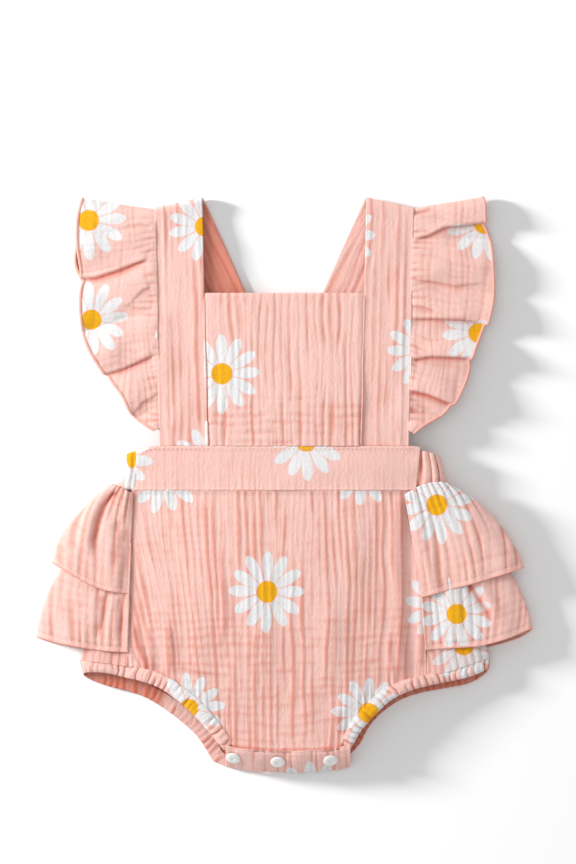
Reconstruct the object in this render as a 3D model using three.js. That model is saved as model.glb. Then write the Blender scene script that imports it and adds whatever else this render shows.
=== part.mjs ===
// Baby romper laid flat with its front up, in millimetres.
// +X goes to the right of the picture, +Y to the shoulders, +Z up from the table, which is at z = 0.
// Every cloth piece is a thin wall spanned by threads: straight lines from one sewn edge to the other.
// "lift" says in which layer a thread lies: 0 on the table, 1 in the front of the garment.
import * as THREE from "three";

// Thickness of the cloth walls
const CLOTH = 1.2; // one double layer of gauze
const BAND = 2.2; // gauze folded over elastic or facing
const SEAM = 0.4; // room left where two pieces are sewn together

// Heights of the layers above the table
const SHOULDER_HEIGHT = 6; // front straps where they fold over the shoulder
const FRONT_HEIGHT = 10.5; // edges of the front from the waist down
const BELLY = 8; // extra height in the middle of the front
const WRAP_HEIGHT = 9; // back panel where it comes round to the front
const LOWER_TIER_HEIGHT = 10.5;
const UPPER_TIER_HEIGHT = 12.2;
const UPPER_TIER_PUFF = 1.5; // the upper tier stands up by this at its gathered top

// Waist
const WAIST_TOP = 27.7;
const WAIST_SEAM = -4.3;
const BACK_WAIST_TOP = 22;
const BACK_WAIST_SEAM = -5.2;

// Straps and bib
const STRAP_WIDTH = 34.5;
const STRAP_FOOT = 72.45; // middle of a strap at the waist, out from the centre line
const STRAP_HEAD = 76.4; // middle of a strap at the shoulder
const SHOULDER_Y = 202.9; // top of the shoulder fold, in the middle of the strap
const FOLD_TURN = 12.75; // degrees that the shoulder fold leans, higher at the neck
const STRAP_CLOTH = 1.5;
const BACK_STRAP_END = 22.5;
const BACK_STRAP_SLANT = 0.44; // mm inwards for each mm down the back
const BIB_TOP = 138;

// Crotch
const CROTCH_LEFT = -42;
const CROTCH_RIGHT = 47.5;
const CROTCH_MIDDLE = 3;
const PLACKET_DEPTH = 15.5;
const PLACKET_FOOT = 1.3; // height of the lower edge of the front placket
const BACK_CROTCH_REACH = 7.9; // the back panel ends this far below the top of the placket
const BACK_PLACKET_CLOTH = 1.6;
const BACK_PLACKET_INSET = 4.4; // the back placket lies this far inside the front one

// Snaps: where each sits along the placket and how far down it
const SNAP_RADIUS = 5.3;
const SNAP_COLUMNS = ["name", "x", "share"];
const SNAPS = [
  ["left", -36.5, 0.5],
  ["centre", -4.7, 0.48],
  ["right", 33.2, 0.5],
];

// Ruching of the elastic bands
const RUCHE_LENGTH = 9;
const RUCHE_HEIGHT = 0.55;

// Flutter ruffles: each thread from the strap seam out to the hem, from the waist up
const FLUTTER_COLUMNS = ["seamY", "hemX", "hemY", "lift"];
const LEFT_FLUTTER = [
  [40, -93, 39.5, 1],
  [50, -101, 44, 1],
  [62, -110, 51.5, 1],
  [76, -117, 65, 1],
  [92, -129, 80, 1],
  [107, -138, 93, 1],
  [122, -144, 106, 1],
  [138, -146.5, 121, 1],
  [150, -147, 138, 1],
  [162, -146, 152, 1],
  [175, -149, 172, 1],
  [186, -149, 190, 1],
  [194, -147, 201, 0.95],
  [198, -145.5, 206, 0.5],
  [192, -146, 201, 0.04],
  [180, -147, 184, 0],
  [164, -150, 157, 0],
  [146, -131, 131, 0],
  [129, -98, 110, 0],
  [121, -70, 108, 0],
];
const RIGHT_FLUTTER = [
  [39, 93, 37.5, 1],
  [50, 101, 43, 1],
  [63, 113, 50, 1],
  [77, 124, 61, 1],
  [91, 132.5, 79, 1],
  [105, 135.5, 93, 1],
  [119, 141.5, 107, 1],
  [134, 147.5, 120, 1],
  [149, 151, 138, 1],
  [163, 150.5, 156, 1],
  [176, 149, 174, 1],
  [186, 144.5, 190, 1],
  [194, 144.5, 202, 0.95],
  [198, 143, 207, 0.5],
  [192, 143.5, 201, 0.04],
  [180, 142, 182, 0],
  [164, 138, 157, 0],
  [146, 121, 131, 0],
  [129, 94, 110, 0],
  [121, 70, 108, 0],
];
// Lobes between the creases of a flutter: a crease at this height of the seam, and the next ones this far apart
const LEFT_CREASES = { at: 162, apart: 35, height: 2.3 };
const RIGHT_CREASES = { at: 149, apart: 29, height: 2.3 };

// Leg openings: threads of the elastic casing from the leg seam to the opening,
// from the crotch up the front, round the side and down the back.
// waistX is where the thread of the body panel that ends here starts at the waist.
const LEG_COLUMNS = ["seamX", "seamY", "edgeX", "edgeY", "lift", "waistX"];
const LEFT_LEG = [
  [-39, -182.5, -46, -187.8, 1, -40],
  [-45.5, -173, -53, -179, 1, -47],
  [-56.4, -160, -63.5, -167, 1, -58],
  [-68.4, -148.8, -75, -156.5, 1, -71],
  [-85.2, -137.5, -89, -146.5, 1, -87],
  [-102, -131.8, -104, -141, 1, -99],
  [-113.5, -130, -115.5, -138.5, 1, -109.8],
  [-128, -127.6, -128, -135.5, 1, -112.5],
  [-139, -126.6, -139.5, -135, 0.9, -115],
  [-146, -126.2, -144.8, -136.5, 0.5, -116.8],
  [-140, -131.2, -139.5, -141, 0.06, -113],
  [-128, -135, -129, -145, 0, -103],
  [-112, -138.6, -113, -149, 0, -89],
  [-94.3, -145.6, -97.5, -155, 0, -75],
  [-73.5, -158.6, -79.5, -167, 0, -60],
  [-57.5, -172.6, -64.5, -180, 0, -47],
  [-48.8, -184.6, -56.8, -190.5, 0, -38],
  [-43.8, -193.5, -51, -199.5, 0, -33],
];
const RIGHT_LEG = [
  [42.5, -182, 50, -186, 1, 40],
  [46, -174.5, 53.5, -179.5, 1, 45.5],
  [53, -165, 60, -171, 1, 52],
  [62, -155.4, 68.5, -162.2, 1, 62],
  [73, -146.6, 78, -154, 1, 72],
  [88, -140, 91, -148, 1, 84],
  [103, -136.5, 105, -144.3, 1, 94.3],
  [119, -133.5, 120, -141.3, 1, 102],
  [134, -128.5, 134.5, -138, 0.93, 108],
  [147.5, -124, 146.3, -133.5, 0.5, 113],
  [141.5, -129.8, 141.5, -139, 0.06, 109],
  [130, -134, 131.5, -144, 0, 101],
  [115, -136.5, 116, -147, 0, 90],
  [96, -140.5, 98, -150.5, 0, 76],
  [79, -147.5, 83, -156, 0, 62],
  [64, -158.5, 69.5, -165.5, 0, 50],
  [53.5, -170.5, 60.5, -176, 0, 41],
  [47.5, -182, 55, -186.3, 0, 36],
  [45, -191, 52.3, -194.6, 0, 32],
];
const SIDE_SEAM_ROW = 6; // row of both leg tables where the side seam ends

// Elastic back of the waistband: from its end in front at the left round the back
const WAIST_COLUMNS = ["topX", "topY", "seamX", "seamY", "lift"];
const BACK_WAIST = [
  [-106.7, 24.4, -109.1, WAIST_SEAM + 0.6, 1],
  [-110.5, 23, -114.5, WAIST_SEAM + 0.3, 0.95],
  [-114.5, 20.5, -120, -4.6, 0.5],
  [-110.5, BACK_WAIST_TOP, -115.5, BACK_WAIST_SEAM, 0.05],
  [-98, BACK_WAIST_TOP, -102, BACK_WAIST_SEAM, 0],
  [-50, BACK_WAIST_TOP, -50, BACK_WAIST_SEAM, 0],
  [0, BACK_WAIST_TOP, 0, BACK_WAIST_SEAM, 0],
  [50, BACK_WAIST_TOP, 50, BACK_WAIST_SEAM, 0],
  [96, BACK_WAIST_TOP, 99, BACK_WAIST_SEAM, 0],
  [106.5, BACK_WAIST_TOP, 112, BACK_WAIST_SEAM, 0.05],
  [111.5, 19, 117.5, -4.6, 0.5],
  [107, 22.5, 110, WAIST_SEAM + 0.3, 0.95],
  [98.7, 24.6, 95.7, WAIST_SEAM + 0.6, 1],
];

// Soft lobes of the hip ruffles at the sides
const LOBE_HEIGHT = 1.1;
const LOBE_LENGTH = 19;

// Hip ruffles: threads from the gathered top to the hem; bow pushes the middle of a thread outwards
const TIER_COLUMNS = ["topX", "topY", "hemX", "hemY", "lift", "bow"];
const UPPER_TIER = [
  [-110.6, -6, -113.4, -78, 1, 0],
  [-113.5, -4, -128, -75.5, 1, 2],
  [-117, -2, -143, -69.5, 1, 5],
  [-120.5, -0.5, -156, -62, 0.92, 9],
  [-123.3, -2.5, -166, -56, 0.5, 11],
  [-121, -7, -159, -61, 0.05, 9],
  [-106, -7, -138, -69, 0, 4],
  [-80, -7, -108, -75, 0, 0],
  [-40, -7, -54, -79, 0, 0],
  [0, -7, 0, -80, 0, 0],
  [40, -7, 56, -79, 0, 0],
  [78, -7, 112, -75, 0, 0],
  [102, -7, 142, -69, 0, 4],
  [117, -7, 165, -62, 0.05, 8],
  [121, -2.5, 172, -59.5, 0.5, 10],
  [114, 1.5, 158, -64, 0.92, 9],
  [105, 1.5, 138, -70, 1, 5],
  [96, -1.5, 119, -75, 1, 2],
  [87, -7, 101, -80.5, 1, 0],
];
const LOWER_TIER = [
  [-112.3, -42, -114.3, -120, 1, 0],
  [-119, -41, -130, -119, 1, 2],
  [-126, -40, -147, -116.5, 1, 5],
  [-132.5, -39, -163, -113.5, 0.92, 9],
  [-137.5, -38.5, -177.5, -109.5, 0.5, 12],
  [-132, -41, -168, -113.5, 0.05, 9],
  [-112, -42, -144, -118, 0, 4],
  [-82, -43, -108, -120.5, 0, 0],
  [-40, -43, -54, -122.5, 0, 0],
  [0, -43, 0, -123, 0, 0],
  [40, -43, 56, -122.5, 0, 0],
  [82, -43, 112, -120.5, 0, 0],
  [112, -42, 146, -117, 0, 4],
  [130, -41, 170, -110, 0.05, 9],
  [136, -38.5, 177.8, -103.5, 0.5, 12],
  [130, -39, 160, -110.5, 0.92, 9],
  [120, -40, 141, -115.5, 1, 5],
  [108.5, -41, 121, -117, 1, 2],
  [97.6, -42, 103.4, -118.5, 1, 0],
];

const GAUZE = new THREE.MeshStandardMaterial({ color: 0xf5bdb1, roughness: 0.95, metalness: 0 });
const SNAP_WHITE = new THREE.MeshStandardMaterial({ color: 0xf4f2ee, roughness: 0.35, metalness: 0 });

const mix = (a, b, share) => a + (b - a) * share;
const clamp01 = (value) => Math.min(1, Math.max(0, value));
function ease(from, to, value) {
  const share = clamp01((value - from) / (to - from));
  return share * share * (3 - 2 * share);
}

// Names the columns of a table's rows.
function named(columns, rows) {
  return rows.map((row) => Object.fromEntries(columns.map((name, i) => [name, row[i]])));
}

// A row part way along a table, smooth through all its rows.
function along(table, place) {
  const last = table.length - 1;
  const index = Math.min(last - 1, Math.floor(place * last));
  const t = place * last - index;
  const four = [-1, 0, 1, 2].map((step) => table[Math.min(last, Math.max(0, index + step))]);
  const row = {};
  for (const name of Object.keys(table[0])) {
    const [a, b, c, d] = four.map((entry) => entry[name]);
    const bend = (2 * a - 5 * b + 4 * c - d) * t * t + (3 * b - a - 3 * c + d) * t * t * t;
    row[name] = b + 0.5 * ((c - a) * t + bend);
  }
  return row;
}

// Rows spread evenly by the way from thread to thread; "way" is that distance in mm.
function evenly(table, count, middle) {
  const fine = Array.from({ length: 801 }, (_, i) => along(table, i / 800));
  const ways = [0];
  for (let i = 1; i < fine.length; i++) {
    ways.push(ways[i - 1] + middle(fine[i]).distanceTo(middle(fine[i - 1])));
  }
  const rows = [];
  for (let k = 0, i = 0; k <= count; k++) {
    const way = (ways[800] * k) / count;
    while (i < 799 && ways[i + 1] < way) i++;
    const share = (way - ways[i]) / (ways[i + 1] - ways[i] || 1);
    rows.push({ ...along(table, (i + clamp01(share)) / 800), way });
  }
  return rows;
}

// A closed wall of the given thickness on a grid of middle points: grid[i][j].
function wall(name, grid, thickness) {
  const across = grid.length - 1;
  const down = grid[0].length - 1;
  const outer = [];
  const inner = [];
  for (let i = 0; i <= across; i++) {
    for (let j = 0; j <= down; j++) {
      const alongU = grid[Math.min(across, i + 1)][j].clone().sub(grid[Math.max(0, i - 1)][j]);
      const alongV = grid[i][Math.min(down, j + 1)].clone().sub(grid[i][Math.max(0, j - 1)]);
      const normal = alongU.cross(alongV).normalize().multiplyScalar(thickness / 2);
      outer.push(grid[i][j].clone().add(normal));
      inner.push(grid[i][j].clone().sub(normal));
    }
  }
  const points = [...outer, ...inner];
  const count = outer.length;
  const at = (i, j) => i * (down + 1) + j;
  const faces = [];
  const quad = (a, b, c, d) => faces.push(a, b, c, a, c, d);
  for (let i = 0; i < across; i++) {
    for (let j = 0; j < down; j++) {
      const corners = [at(i, j), at(i + 1, j), at(i + 1, j + 1), at(i, j + 1)];
      quad(...corners);
      quad(...corners.map((c) => c + count).reverse());
    }
  }
  const rim = [];
  for (let i = 0; i < across; i++) rim.push(at(i, 0));
  for (let j = 0; j < down; j++) rim.push(at(across, j));
  for (let i = across; i > 0; i--) rim.push(at(i, down));
  for (let j = down; j > 0; j--) rim.push(at(0, j));
  rim.forEach((a, k) => {
    const b = rim[(k + 1) % rim.length];
    quad(b, a, a + count, b + count);
  });
  const geometry = new THREE.BufferGeometry();
  const numbers = points.flatMap((p) => [p.x, p.y, Math.max(0, p.z)]);
  geometry.setAttribute("position", new THREE.Float32BufferAttribute(numbers, 3));
  geometry.setIndex(faces);
  return meshOf(name, geometry, GAUZE);
}

function meshOf(name, geometry, material) {
  const mesh = new THREE.Mesh(geometry, material);
  mesh.name = name;
  return mesh;
}

// Grid of points made by a function of two counters.
function gridOf(across, down, pointAt) {
  return Array.from({ length: across + 1 }, (_, i) =>
    Array.from({ length: down + 1 }, (_, j) => pointAt(i, j)),
  );
}

// Moves the points of a grid along its own normals.
function movedOut(grid, distance) {
  const across = grid.length - 1;
  const down = grid[0].length - 1;
  return gridOf(across, down, (i, j) => {
    const alongU = grid[Math.min(across, i + 1)][j].clone().sub(grid[Math.max(0, i - 1)][j]);
    const alongV = grid[i][Math.min(down, j + 1)].clone().sub(grid[i][Math.max(0, j - 1)]);
    return grid[i][j].clone().addScaledVector(alongU.cross(alongV).normalize(), distance);
  });
}

// Height of the front of the garment at a place: low at the shoulders, domed over the belly.
function frontHeight(x, y) {
  const base = mix(SHOULDER_HEIGHT, FRONT_HEIGHT, ease(205, 28, y));
  const sideways = clamp01(1 - ((x + 4) / 108) ** 2);
  const rise = mix(0.28, 1, ease(40, -70, y)) * ease(170, 28, y);
  const fall = mix(1, 0.4, ease(-90, -185, y));
  return base + BELLY * sideways * rise * fall;
}

// Upper edge of the front waistband: it drops a little at its two ends.
function waistTop(x) {
  return WAIST_TOP - 3.3 * ease(93, 106, Math.abs(x));
}

function waistbandFront() {
  const grid = gridOf(24, 1, (i, j) => {
    const share = j;
    const left = mix(-106.1, -108.5, share);
    const right = mix(98.1, 95.1, share);
    const x = mix(left, right, i / 24);
    const y = mix(waistTop(x), WAIST_SEAM + SEAM, share);
    return new THREE.Vector3(x, y, frontHeight(x, y) + 0.3);
  });
  return wall("waistband_front", grid, 2);
}

function waistbandBack() {
  const table = named(WAIST_COLUMNS, BACK_WAIST);
  const heightOf = (lift) => mix(BAND / 2 + RUCHE_HEIGHT, FRONT_HEIGHT, clamp01(lift));
  const middle = (row) => new THREE.Vector3(row.topX, row.topY, heightOf(row.lift));
  const rows = evenly(table, 116, middle);
  const base = gridOf(116, 1, (i, j) => {
    const row = rows[i];
    const x = mix(row.topX, row.seamX, j);
    return new THREE.Vector3(x, mix(row.topY, row.seamY, j), heightOf(row.lift));
  });
  return wall("waistband_back", ruched(base, rows, RUCHE_LENGTH), BAND);
}

// Waves across the threads of an elastic band; the first and last threads stay flat.
function ruched(grid, rows, length) {
  const total = rows.at(-1).way;
  const waves = Math.round(total / length);
  const up = movedOut(grid, 1);
  return gridOf(grid.length - 1, grid[0].length - 1, (i, j) => {
    const calm = ease(0, 6, rows[i].way) * ease(total, total - 6, rows[i].way);
    const wave = RUCHE_HEIGHT * calm * Math.sin((2 * Math.PI * waves * rows[i].way) / total);
    return grid[i][j].clone().lerp(up[i][j], wave);
  });
}

// Strap: runs up the front, folds over the shoulder and crosses the back on a slant.
function strap(name, side, backHeight) {
  const foot = new THREE.Vector2(side * STRAP_FOOT, WAIST_TOP + SEAM);
  const head = new THREE.Vector2(side * STRAP_HEAD, SHOULDER_Y);
  const up = head.clone().sub(foot).normalize();
  const sideways = new THREE.Vector2(up.y, -up.x);
  const turn = (-side * FOLD_TURN * Math.PI) / 180;
  const beyond = new THREE.Vector2(-Math.sin(turn), Math.cos(turn));
  const bend = (SHOULDER_HEIGHT - STRAP_CLOTH / 2) / 2;
  const line = head.clone().addScaledVector(beyond, -bend);
  const place = (a, q) => {
    const flat = foot.clone().addScaledVector(sideways, a).addScaledVector(up, q);
    const past = flat.clone().sub(line).dot(beyond);
    if (past <= 0) return new THREE.Vector3(flat.x, flat.y, frontHeight(side * 92, flat.y));
    const angle = Math.min(Math.PI, past / bend);
    const reach = bend * Math.sin(angle) - Math.max(0, past - Math.PI * bend);
    const folded = flat.addScaledVector(beyond, reach - past);
    const rest = STRAP_CLOTH / 2 + bend * (1 + Math.cos(angle));
    const z = past < Math.PI * bend ? rest : backHeight(folded.y);
    return new THREE.Vector3(folded.x, folded.y, z);
  };
  const across = 2;
  const steps = { front: 12, fold: 9, back: 14 };
  const rows = steps.front + steps.fold + steps.back;
  const grid = gridOf(rows, across, (i, j) => {
    const a = mix(-STRAP_WIDTH / 2, STRAP_WIDTH / 2, j / across);
    const start = foot.clone().addScaledVector(sideways, a).sub(line).dot(beyond);
    const slope = up.dot(beyond);
    const foldStart = -start / slope;
    const foldEnd = foldStart + (Math.PI * bend) / slope;
    const drop = (place(a, 250).y - place(a, 300).y) / 50;
    const length = 250 + (place(a, 250).y - BACK_STRAP_END) / drop;
    const cut = (-a * sideways.y) / up.y; // the foot is cut level, along the waistband
    if (i <= steps.front) return place(a, mix(cut, foldStart, i / steps.front));
    const turned = i - steps.front;
    if (turned <= steps.fold) return place(a, mix(foldStart, foldEnd, turned / steps.fold));
    return place(a, mix(foldEnd, length, (turned - steps.fold) / steps.back));
  });
  return wall(name, grid, STRAP_CLOTH);
}

// Outer edge of a front strap at a height.
function strapEdge(y, half) {
  return mix(STRAP_FOOT, STRAP_HEAD, (y - WAIST_TOP) / (SHOULDER_Y - WAIST_TOP)) + half;
}

function bib() {
  const grid = gridOf(12, 6, (i, j) => {
    const y = mix(WAIST_TOP + SEAM, BIB_TOP, j / 6);
    const half = strapEdge(y, -STRAP_WIDTH / 2) - SEAM;
    const x = mix(-half, half, i / 12);
    return new THREE.Vector3(x, y, frontHeight(x, y));
  });
  return wall("bib_centre", grid, CLOTH);
}

// Flutter ruffle: gathered on the strap, folded over the shoulder, with a shorter part behind.
function flutter(name, side, table, creases) {
  const rows = named(FLUTTER_COLUMNS, table).map((row) => {
    const down = Math.max(0, 198 - row.seamY);
    const front = strapEdge(row.seamY, STRAP_WIDTH / 2) + 2 * SEAM;
    const behind = strapEdge(198, STRAP_WIDTH / 2) + 3 * SEAM - down * BACK_STRAP_SLANT;
    return { ...row, seamX: side * (row.lift > 0.4 ? front : behind) };
  });
  const heightOf = (row, y) => mix(CLOTH / 2, frontHeight(92, y), clamp01(row.lift));
  const middle = (row) =>
    new THREE.Vector3((row.seamX + row.hemX) / 2, (row.seamY + row.hemY) / 2, 8 * row.lift);
  const across = 56;
  const down = 4;
  const even = evenly(rows, across, middle);
  const grid = gridOf(across, down, (i, j) => {
    const row = even[i];
    const share = j / down;
    const x = mix(row.seamX, row.hemX, share);
    const y = mix(row.seamY, row.hemY, share);
    const lobe = Math.abs(Math.sin((Math.PI * (row.seamY - creases.at)) / creases.apart));
    const puff = creases.height * (1.6 * lobe - 1) * Math.min(1, 1.6 * share);
    const droop = 1.2 * share * share;
    const z = heightOf(row, row.seamY) + clamp01(row.lift) ** 2 * (puff - droop);
    return new THREE.Vector3(x, y, z);
  });
  return wall(name, grid, CLOTH);
}

// Lower edge of the front body at the crotch, which is the upper edge of the placket.
function crotchTop(x) {
  return -191.3 + 4.5 * Math.abs((x - CROTCH_MIDDLE) / 45) ** 3;
}

// Threads of a body panel: from the waist to the leg seams and the crotch.
function bodyThreads(legRows, crotch) {
  return legRows.map((row) => {
    if (crotch.includes(row)) return row;
    const turning = clamp01(row.lift) * (1 - clamp01(row.lift)); // more room round the side
    const room = SEAM + 0.1 + 5 * turning;
    const gap = room / Math.hypot(row.seamX - row.edgeX, row.seamY - row.edgeY);
    return {
      waistX: row.waistX,
      endX: mix(row.seamX, row.edgeX, -gap),
      endY: mix(row.seamY, row.edgeY, -gap),
      lift: row.lift,
    };
  });
}

function bodyFront() {
  const left = named(LEG_COLUMNS, LEFT_LEG).slice(0, SIDE_SEAM_ROW + 1).reverse();
  const right = named(LEG_COLUMNS, RIGHT_LEG).slice(0, SIDE_SEAM_ROW + 1);
  left[0].seamX += SEAM + 0.2;
  right[SIDE_SEAM_ROW].seamX -= SEAM + 0.2;
  const crotch = [-34.5, -20, CROTCH_MIDDLE, 26, 39].map((x) => ({
    waistX: x * 0.93,
    endX: x,
    endY: crotchTop(x) + 2 * SEAM,
    lift: 1,
  }));
  const rows = bodyThreads([...left, ...crotch, ...right], crotch);
  const middle = (row) => new THREE.Vector3(row.endX, row.endY, 0);
  const across = 64;
  const down = 8;
  const even = evenly(rows, across, middle);
  const grid = gridOf(across, down, (i, j) => {
    const share = j / down;
    const x = mix(even[i].waistX, even[i].endX, share);
    const y = mix(WAIST_SEAM - 0.1, even[i].endY, share);
    return new THREE.Vector3(x, y, frontHeight(x, y) + bodyFolds(x, y, share));
  });
  return wall("body_front", grid, CLOTH);
}

// Soft folds of the front body: a long valley at the right and short pleats above the left casing.
function bodyFolds(x, y, share) {
  const valley = -1.6 * Math.exp(-(((x - 84) / 5) ** 2)) * ease(0, 0.15, share) * ease(1, 0.85, share);
  const pleats = 0.7 * Math.sin((x + 113) / 2.2) * ease(-80, -118, y) * ease(-80, -92, x);
  const gathers = 0.45 * Math.sin(x / 2.6) * (1 - ease(0, 0.25, share));
  return valley + pleats * ease(1, 0.93, share) + gathers;
}

// Rows of the back panel down its threads: it lies on one or two ruffle tiers, then on the table.
const BACK_ROW_COLUMNS = ["y", "z"];
const BACK_ROWS = named(BACK_ROW_COLUMNS, [
  [BACK_WAIST_SEAM, 2.1],
  [-25, 2.1],
  [-42, 3.6],
  [-85, 3.6],
  [-122, 3.6],
]);
const BACK_FOOT_HEIGHTS = [2.2, 1.3, 0.7];

function bodyBack() {
  const left = named(LEG_COLUMNS, LEFT_LEG).slice(SIDE_SEAM_ROW);
  const right = named(LEG_COLUMNS, RIGHT_LEG).slice(SIDE_SEAM_ROW).reverse();
  const crotch = [-41.5, -36, -18, CROTCH_MIDDLE, 24, 38, 43].map((x) => ({
    waistX: x * 0.7,
    endX: x,
    endY: crotchTop(x) - BACK_CROTCH_REACH,
    lift: 0,
  }));
  const rows = bodyThreads([...left, ...crotch, ...right], crotch);
  const across = 76;
  const down = BACK_ROWS.length + BACK_FOOT_HEIGHTS.length - 1;
  const middle = (row) => new THREE.Vector3(row.endX, row.endY, 8 * row.lift);
  const even = evenly(rows, across, middle);
  const grid = gridOf(across, down, (i, j) => {
    const lift = clamp01(even[i].lift);
    const waist = mix(BACK_WAIST_SEAM - 2 * SEAM, WAIST_SEAM - 3 * SEAM, lift);
    const lower = j - BACK_ROWS.length;
    const last = BACK_ROWS.at(-1).y;
    const steps = BACK_FOOT_HEIGHTS.length;
    const free = lower < 0 ? BACK_ROWS[j].y : mix(last, even[i].endY, (lower + 1) / steps);
    const y = j === 0 ? waist : free;
    const floor = lower < 0 ? BACK_ROWS[j].z : BACK_FOOT_HEIGHTS[lower];
    const x = mix(even[i].waistX, even[i].endX, (y - waist) / (even[i].endY - waist));
    return new THREE.Vector3(x, y, mix(floor, WRAP_HEIGHT, lift));
  });
  return wall("body_back", grid, CLOTH);
}

function legBand(name, table) {
  const rows = named(LEG_COLUMNS, table);
  const heightOf = (row, x, y) => {
    const outside = ease(104, 118, Math.abs(x));
    const front = frontHeight(x, y) - (FRONT_HEIGHT - WRAP_HEIGHT) * outside;
    return mix(BAND / 2 + RUCHE_HEIGHT, front, clamp01(row.lift));
  };
  const middle = (row) =>
    new THREE.Vector3((row.seamX + row.edgeX) / 2, (row.seamY + row.edgeY) / 2, 8 * row.lift);
  const across = 116;
  const even = evenly(rows, across, middle);
  const grid = gridOf(across, 1, (i, j) => {
    const row = even[i];
    const x = mix(row.seamX, row.edgeX, j);
    const y = mix(row.seamY, row.edgeY, j);
    return new THREE.Vector3(x, y, heightOf(row, row.seamX, row.seamY));
  });
  return wall(name, ruched(grid, even, RUCHE_LENGTH), BAND);
}

// Point on the middle of the front placket, which rolls down round the crotch.
function placketPoint(x, share) {
  const top = crotchTop(x);
  const head = frontHeight(x, top);
  const z = PLACKET_FOOT + (head - PLACKET_FOOT) * Math.cos((share * Math.PI) / 2);
  return new THREE.Vector3(x, top - PLACKET_DEPTH * share, z);
}

function placketGrid(from, to, first, last, across, down) {
  return gridOf(down, across, (i, j) =>
    placketPoint(mix(from, to, j / across), mix(first, last, i / down)),
  );
}

function plackets() {
  const front = placketGrid(CROTCH_LEFT, CROTCH_RIGHT, 0, 1, 18, 6);
  const inset = placketGrid(CROTCH_LEFT + 3, CROTCH_RIGHT - 3, 0.12, 0.84, 16, 4);
  return [
    wall("crotch_placket_front", front, BAND),
    wall("crotch_placket_back", movedOut(inset, -BACK_PLACKET_INSET), BACK_PLACKET_CLOTH),
  ];
}

// One snap: a domed cap outside, the two pressed halves between the plackets and a ring inside.
function snap(name, x, share) {
  const spot = placketPoint(x, share);
  const alongX = placketPoint(x + 1, share).sub(spot);
  const downwards = placketPoint(x, share + 0.05).sub(spot);
  const out = downwards.cross(alongX).normalize();
  const turned = new THREE.Quaternion().setFromUnitVectors(new THREE.Vector3(0, 1, 0), out);
  const disc = (part, profile, height) => {
    const outline = profile.map(([r, h]) => new THREE.Vector2(r, h));
    const turnedForm = new THREE.LatheGeometry(outline, 14);
    const mesh = meshOf(`snap_${part}_${name}`, turnedForm, SNAP_WHITE);
    mesh.quaternion.copy(turned);
    mesh.position.copy(spot).addScaledVector(out, height);
    return mesh;
  };
  const r = SNAP_RADIUS;
  const cap = [[0, 0], [r, 0], [r, 0.5], [r * 0.78, 1.25], [r * 0.4, 1.6], [0, 1.7]];
  const press = [[0, 0], [r * 0.75, 0], [r * 0.75, 1.1], [0, 1.1]];
  const ring = [[0, 0], [r * 0.7, 0], [r * 0.7, 0.7], [0, 0.7]];
  return [
    disc("cap", cap, BAND / 2 + 0.45),
    disc("press", press, -BAND / 2 - 0.95 - 1.1),
    disc("ring", ring, -BACK_PLACKET_INSET - BACK_PLACKET_CLOTH / 2 - 1.1 - 0.7),
  ];
}

// Hip ruffle: gathered at its top, from the left side seam round the back to the right one.
function hipRuffle(name, table, floorHeight, frontHeightOf) {
  const rows = named(TIER_COLUMNS, table);
  const middle = (row) =>
    new THREE.Vector3((row.topX + row.hemX) / 2, (row.topY + row.hemY) / 2, 10 * row.lift);
  const across = 68;
  const down = 5;
  const even = evenly(rows, across, middle);
  const total = even[across].way;
  const grid = gridOf(across, down, (i, j) => {
    const row = even[i];
    const share = j / down;
    const bow = row.bow * 4 * share * (1 - share) * 0.75;
    const x = mix(row.topX, row.hemX, share) + Math.sign(row.topX) * bow * 0.85;
    const y = mix(row.topY, row.hemY, share) + bow * 0.5;
    const fromEnd = Math.min(row.way, total - row.way);
    const calm = ease(0, 9, fromEnd) * clamp01(row.lift * 1.2 - 0.2);
    const wave = LOBE_HEIGHT * calm * (1 + Math.sin((2 * Math.PI * fromEnd) / LOBE_LENGTH - 1.2));
    const front = frontHeightOf(x, y, share, wave);
    return new THREE.Vector3(x, y, mix(floorHeight(y), front, clamp01(row.lift)));
  });
  return wall(name, grid, CLOTH);
}

function hipRuffles() {
  const upperFront = (x, y, share, wave) => {
    const level = UPPER_TIER_HEIGHT + UPPER_TIER_PUFF * ease(0.5, 0, share) + wave * share;
    return Math.max(level, frontHeight(x, y) + CLOTH + 0.6);
  };
  const lowerFloor = (y) => CLOTH / 2 + 1.5 * ease(-108, -94, y);
  const lowerFront = (x, y, share, wave) => LOWER_TIER_HEIGHT + wave * ease(0.5, 1, share);
  return [
    hipRuffle("hip_ruffle_upper", UPPER_TIER, () => CLOTH / 2, upperFront),
    hipRuffle("hip_ruffle_lower", LOWER_TIER, lowerFloor, lowerFront),
  ];
}

const romper = new THREE.Group();
romper.name = "romper";
romper.add(
  bib(),
  strap("strap_left", -1, () => STRAP_CLOTH / 2),
  strap("strap_right", 1, (y) => STRAP_CLOTH / 2 + 1.8 * ease(165, 125, y)),
  flutter("flutter_left", -1, LEFT_FLUTTER, LEFT_CREASES),
  flutter("flutter_right", 1, RIGHT_FLUTTER, RIGHT_CREASES),
  waistbandFront(),
  waistbandBack(),
  bodyFront(),
  bodyBack(),
  legBand("leg_band_left", LEFT_LEG),
  legBand("leg_band_right", RIGHT_LEG),
  ...plackets(),
  ...hipRuffles(),
);
for (const row of named(SNAP_COLUMNS, SNAPS)) {
  romper.add(...snap(row.name, row.x, row.share));
}

export default romper;
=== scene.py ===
"""Looks of a baby romper in crinkled cotton gauze with a daisy print, laid flat with its front up.

Lengths are millimetres here and become metres when a mesh is made.
+X goes to the right of the picture, +Y to the shoulders, +Z up from the table, which is at z = 0.
A cloth is a grid of points: its first counter goes from thread to thread, its second down a thread.
"lift" says in which layer a thread lies: 0 on the table, 1 in the front of the garment.
"""
import math
from collections import namedtuple

import bmesh
import bpy
import numpy as np
from mathutils import Matrix, Vector


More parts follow.
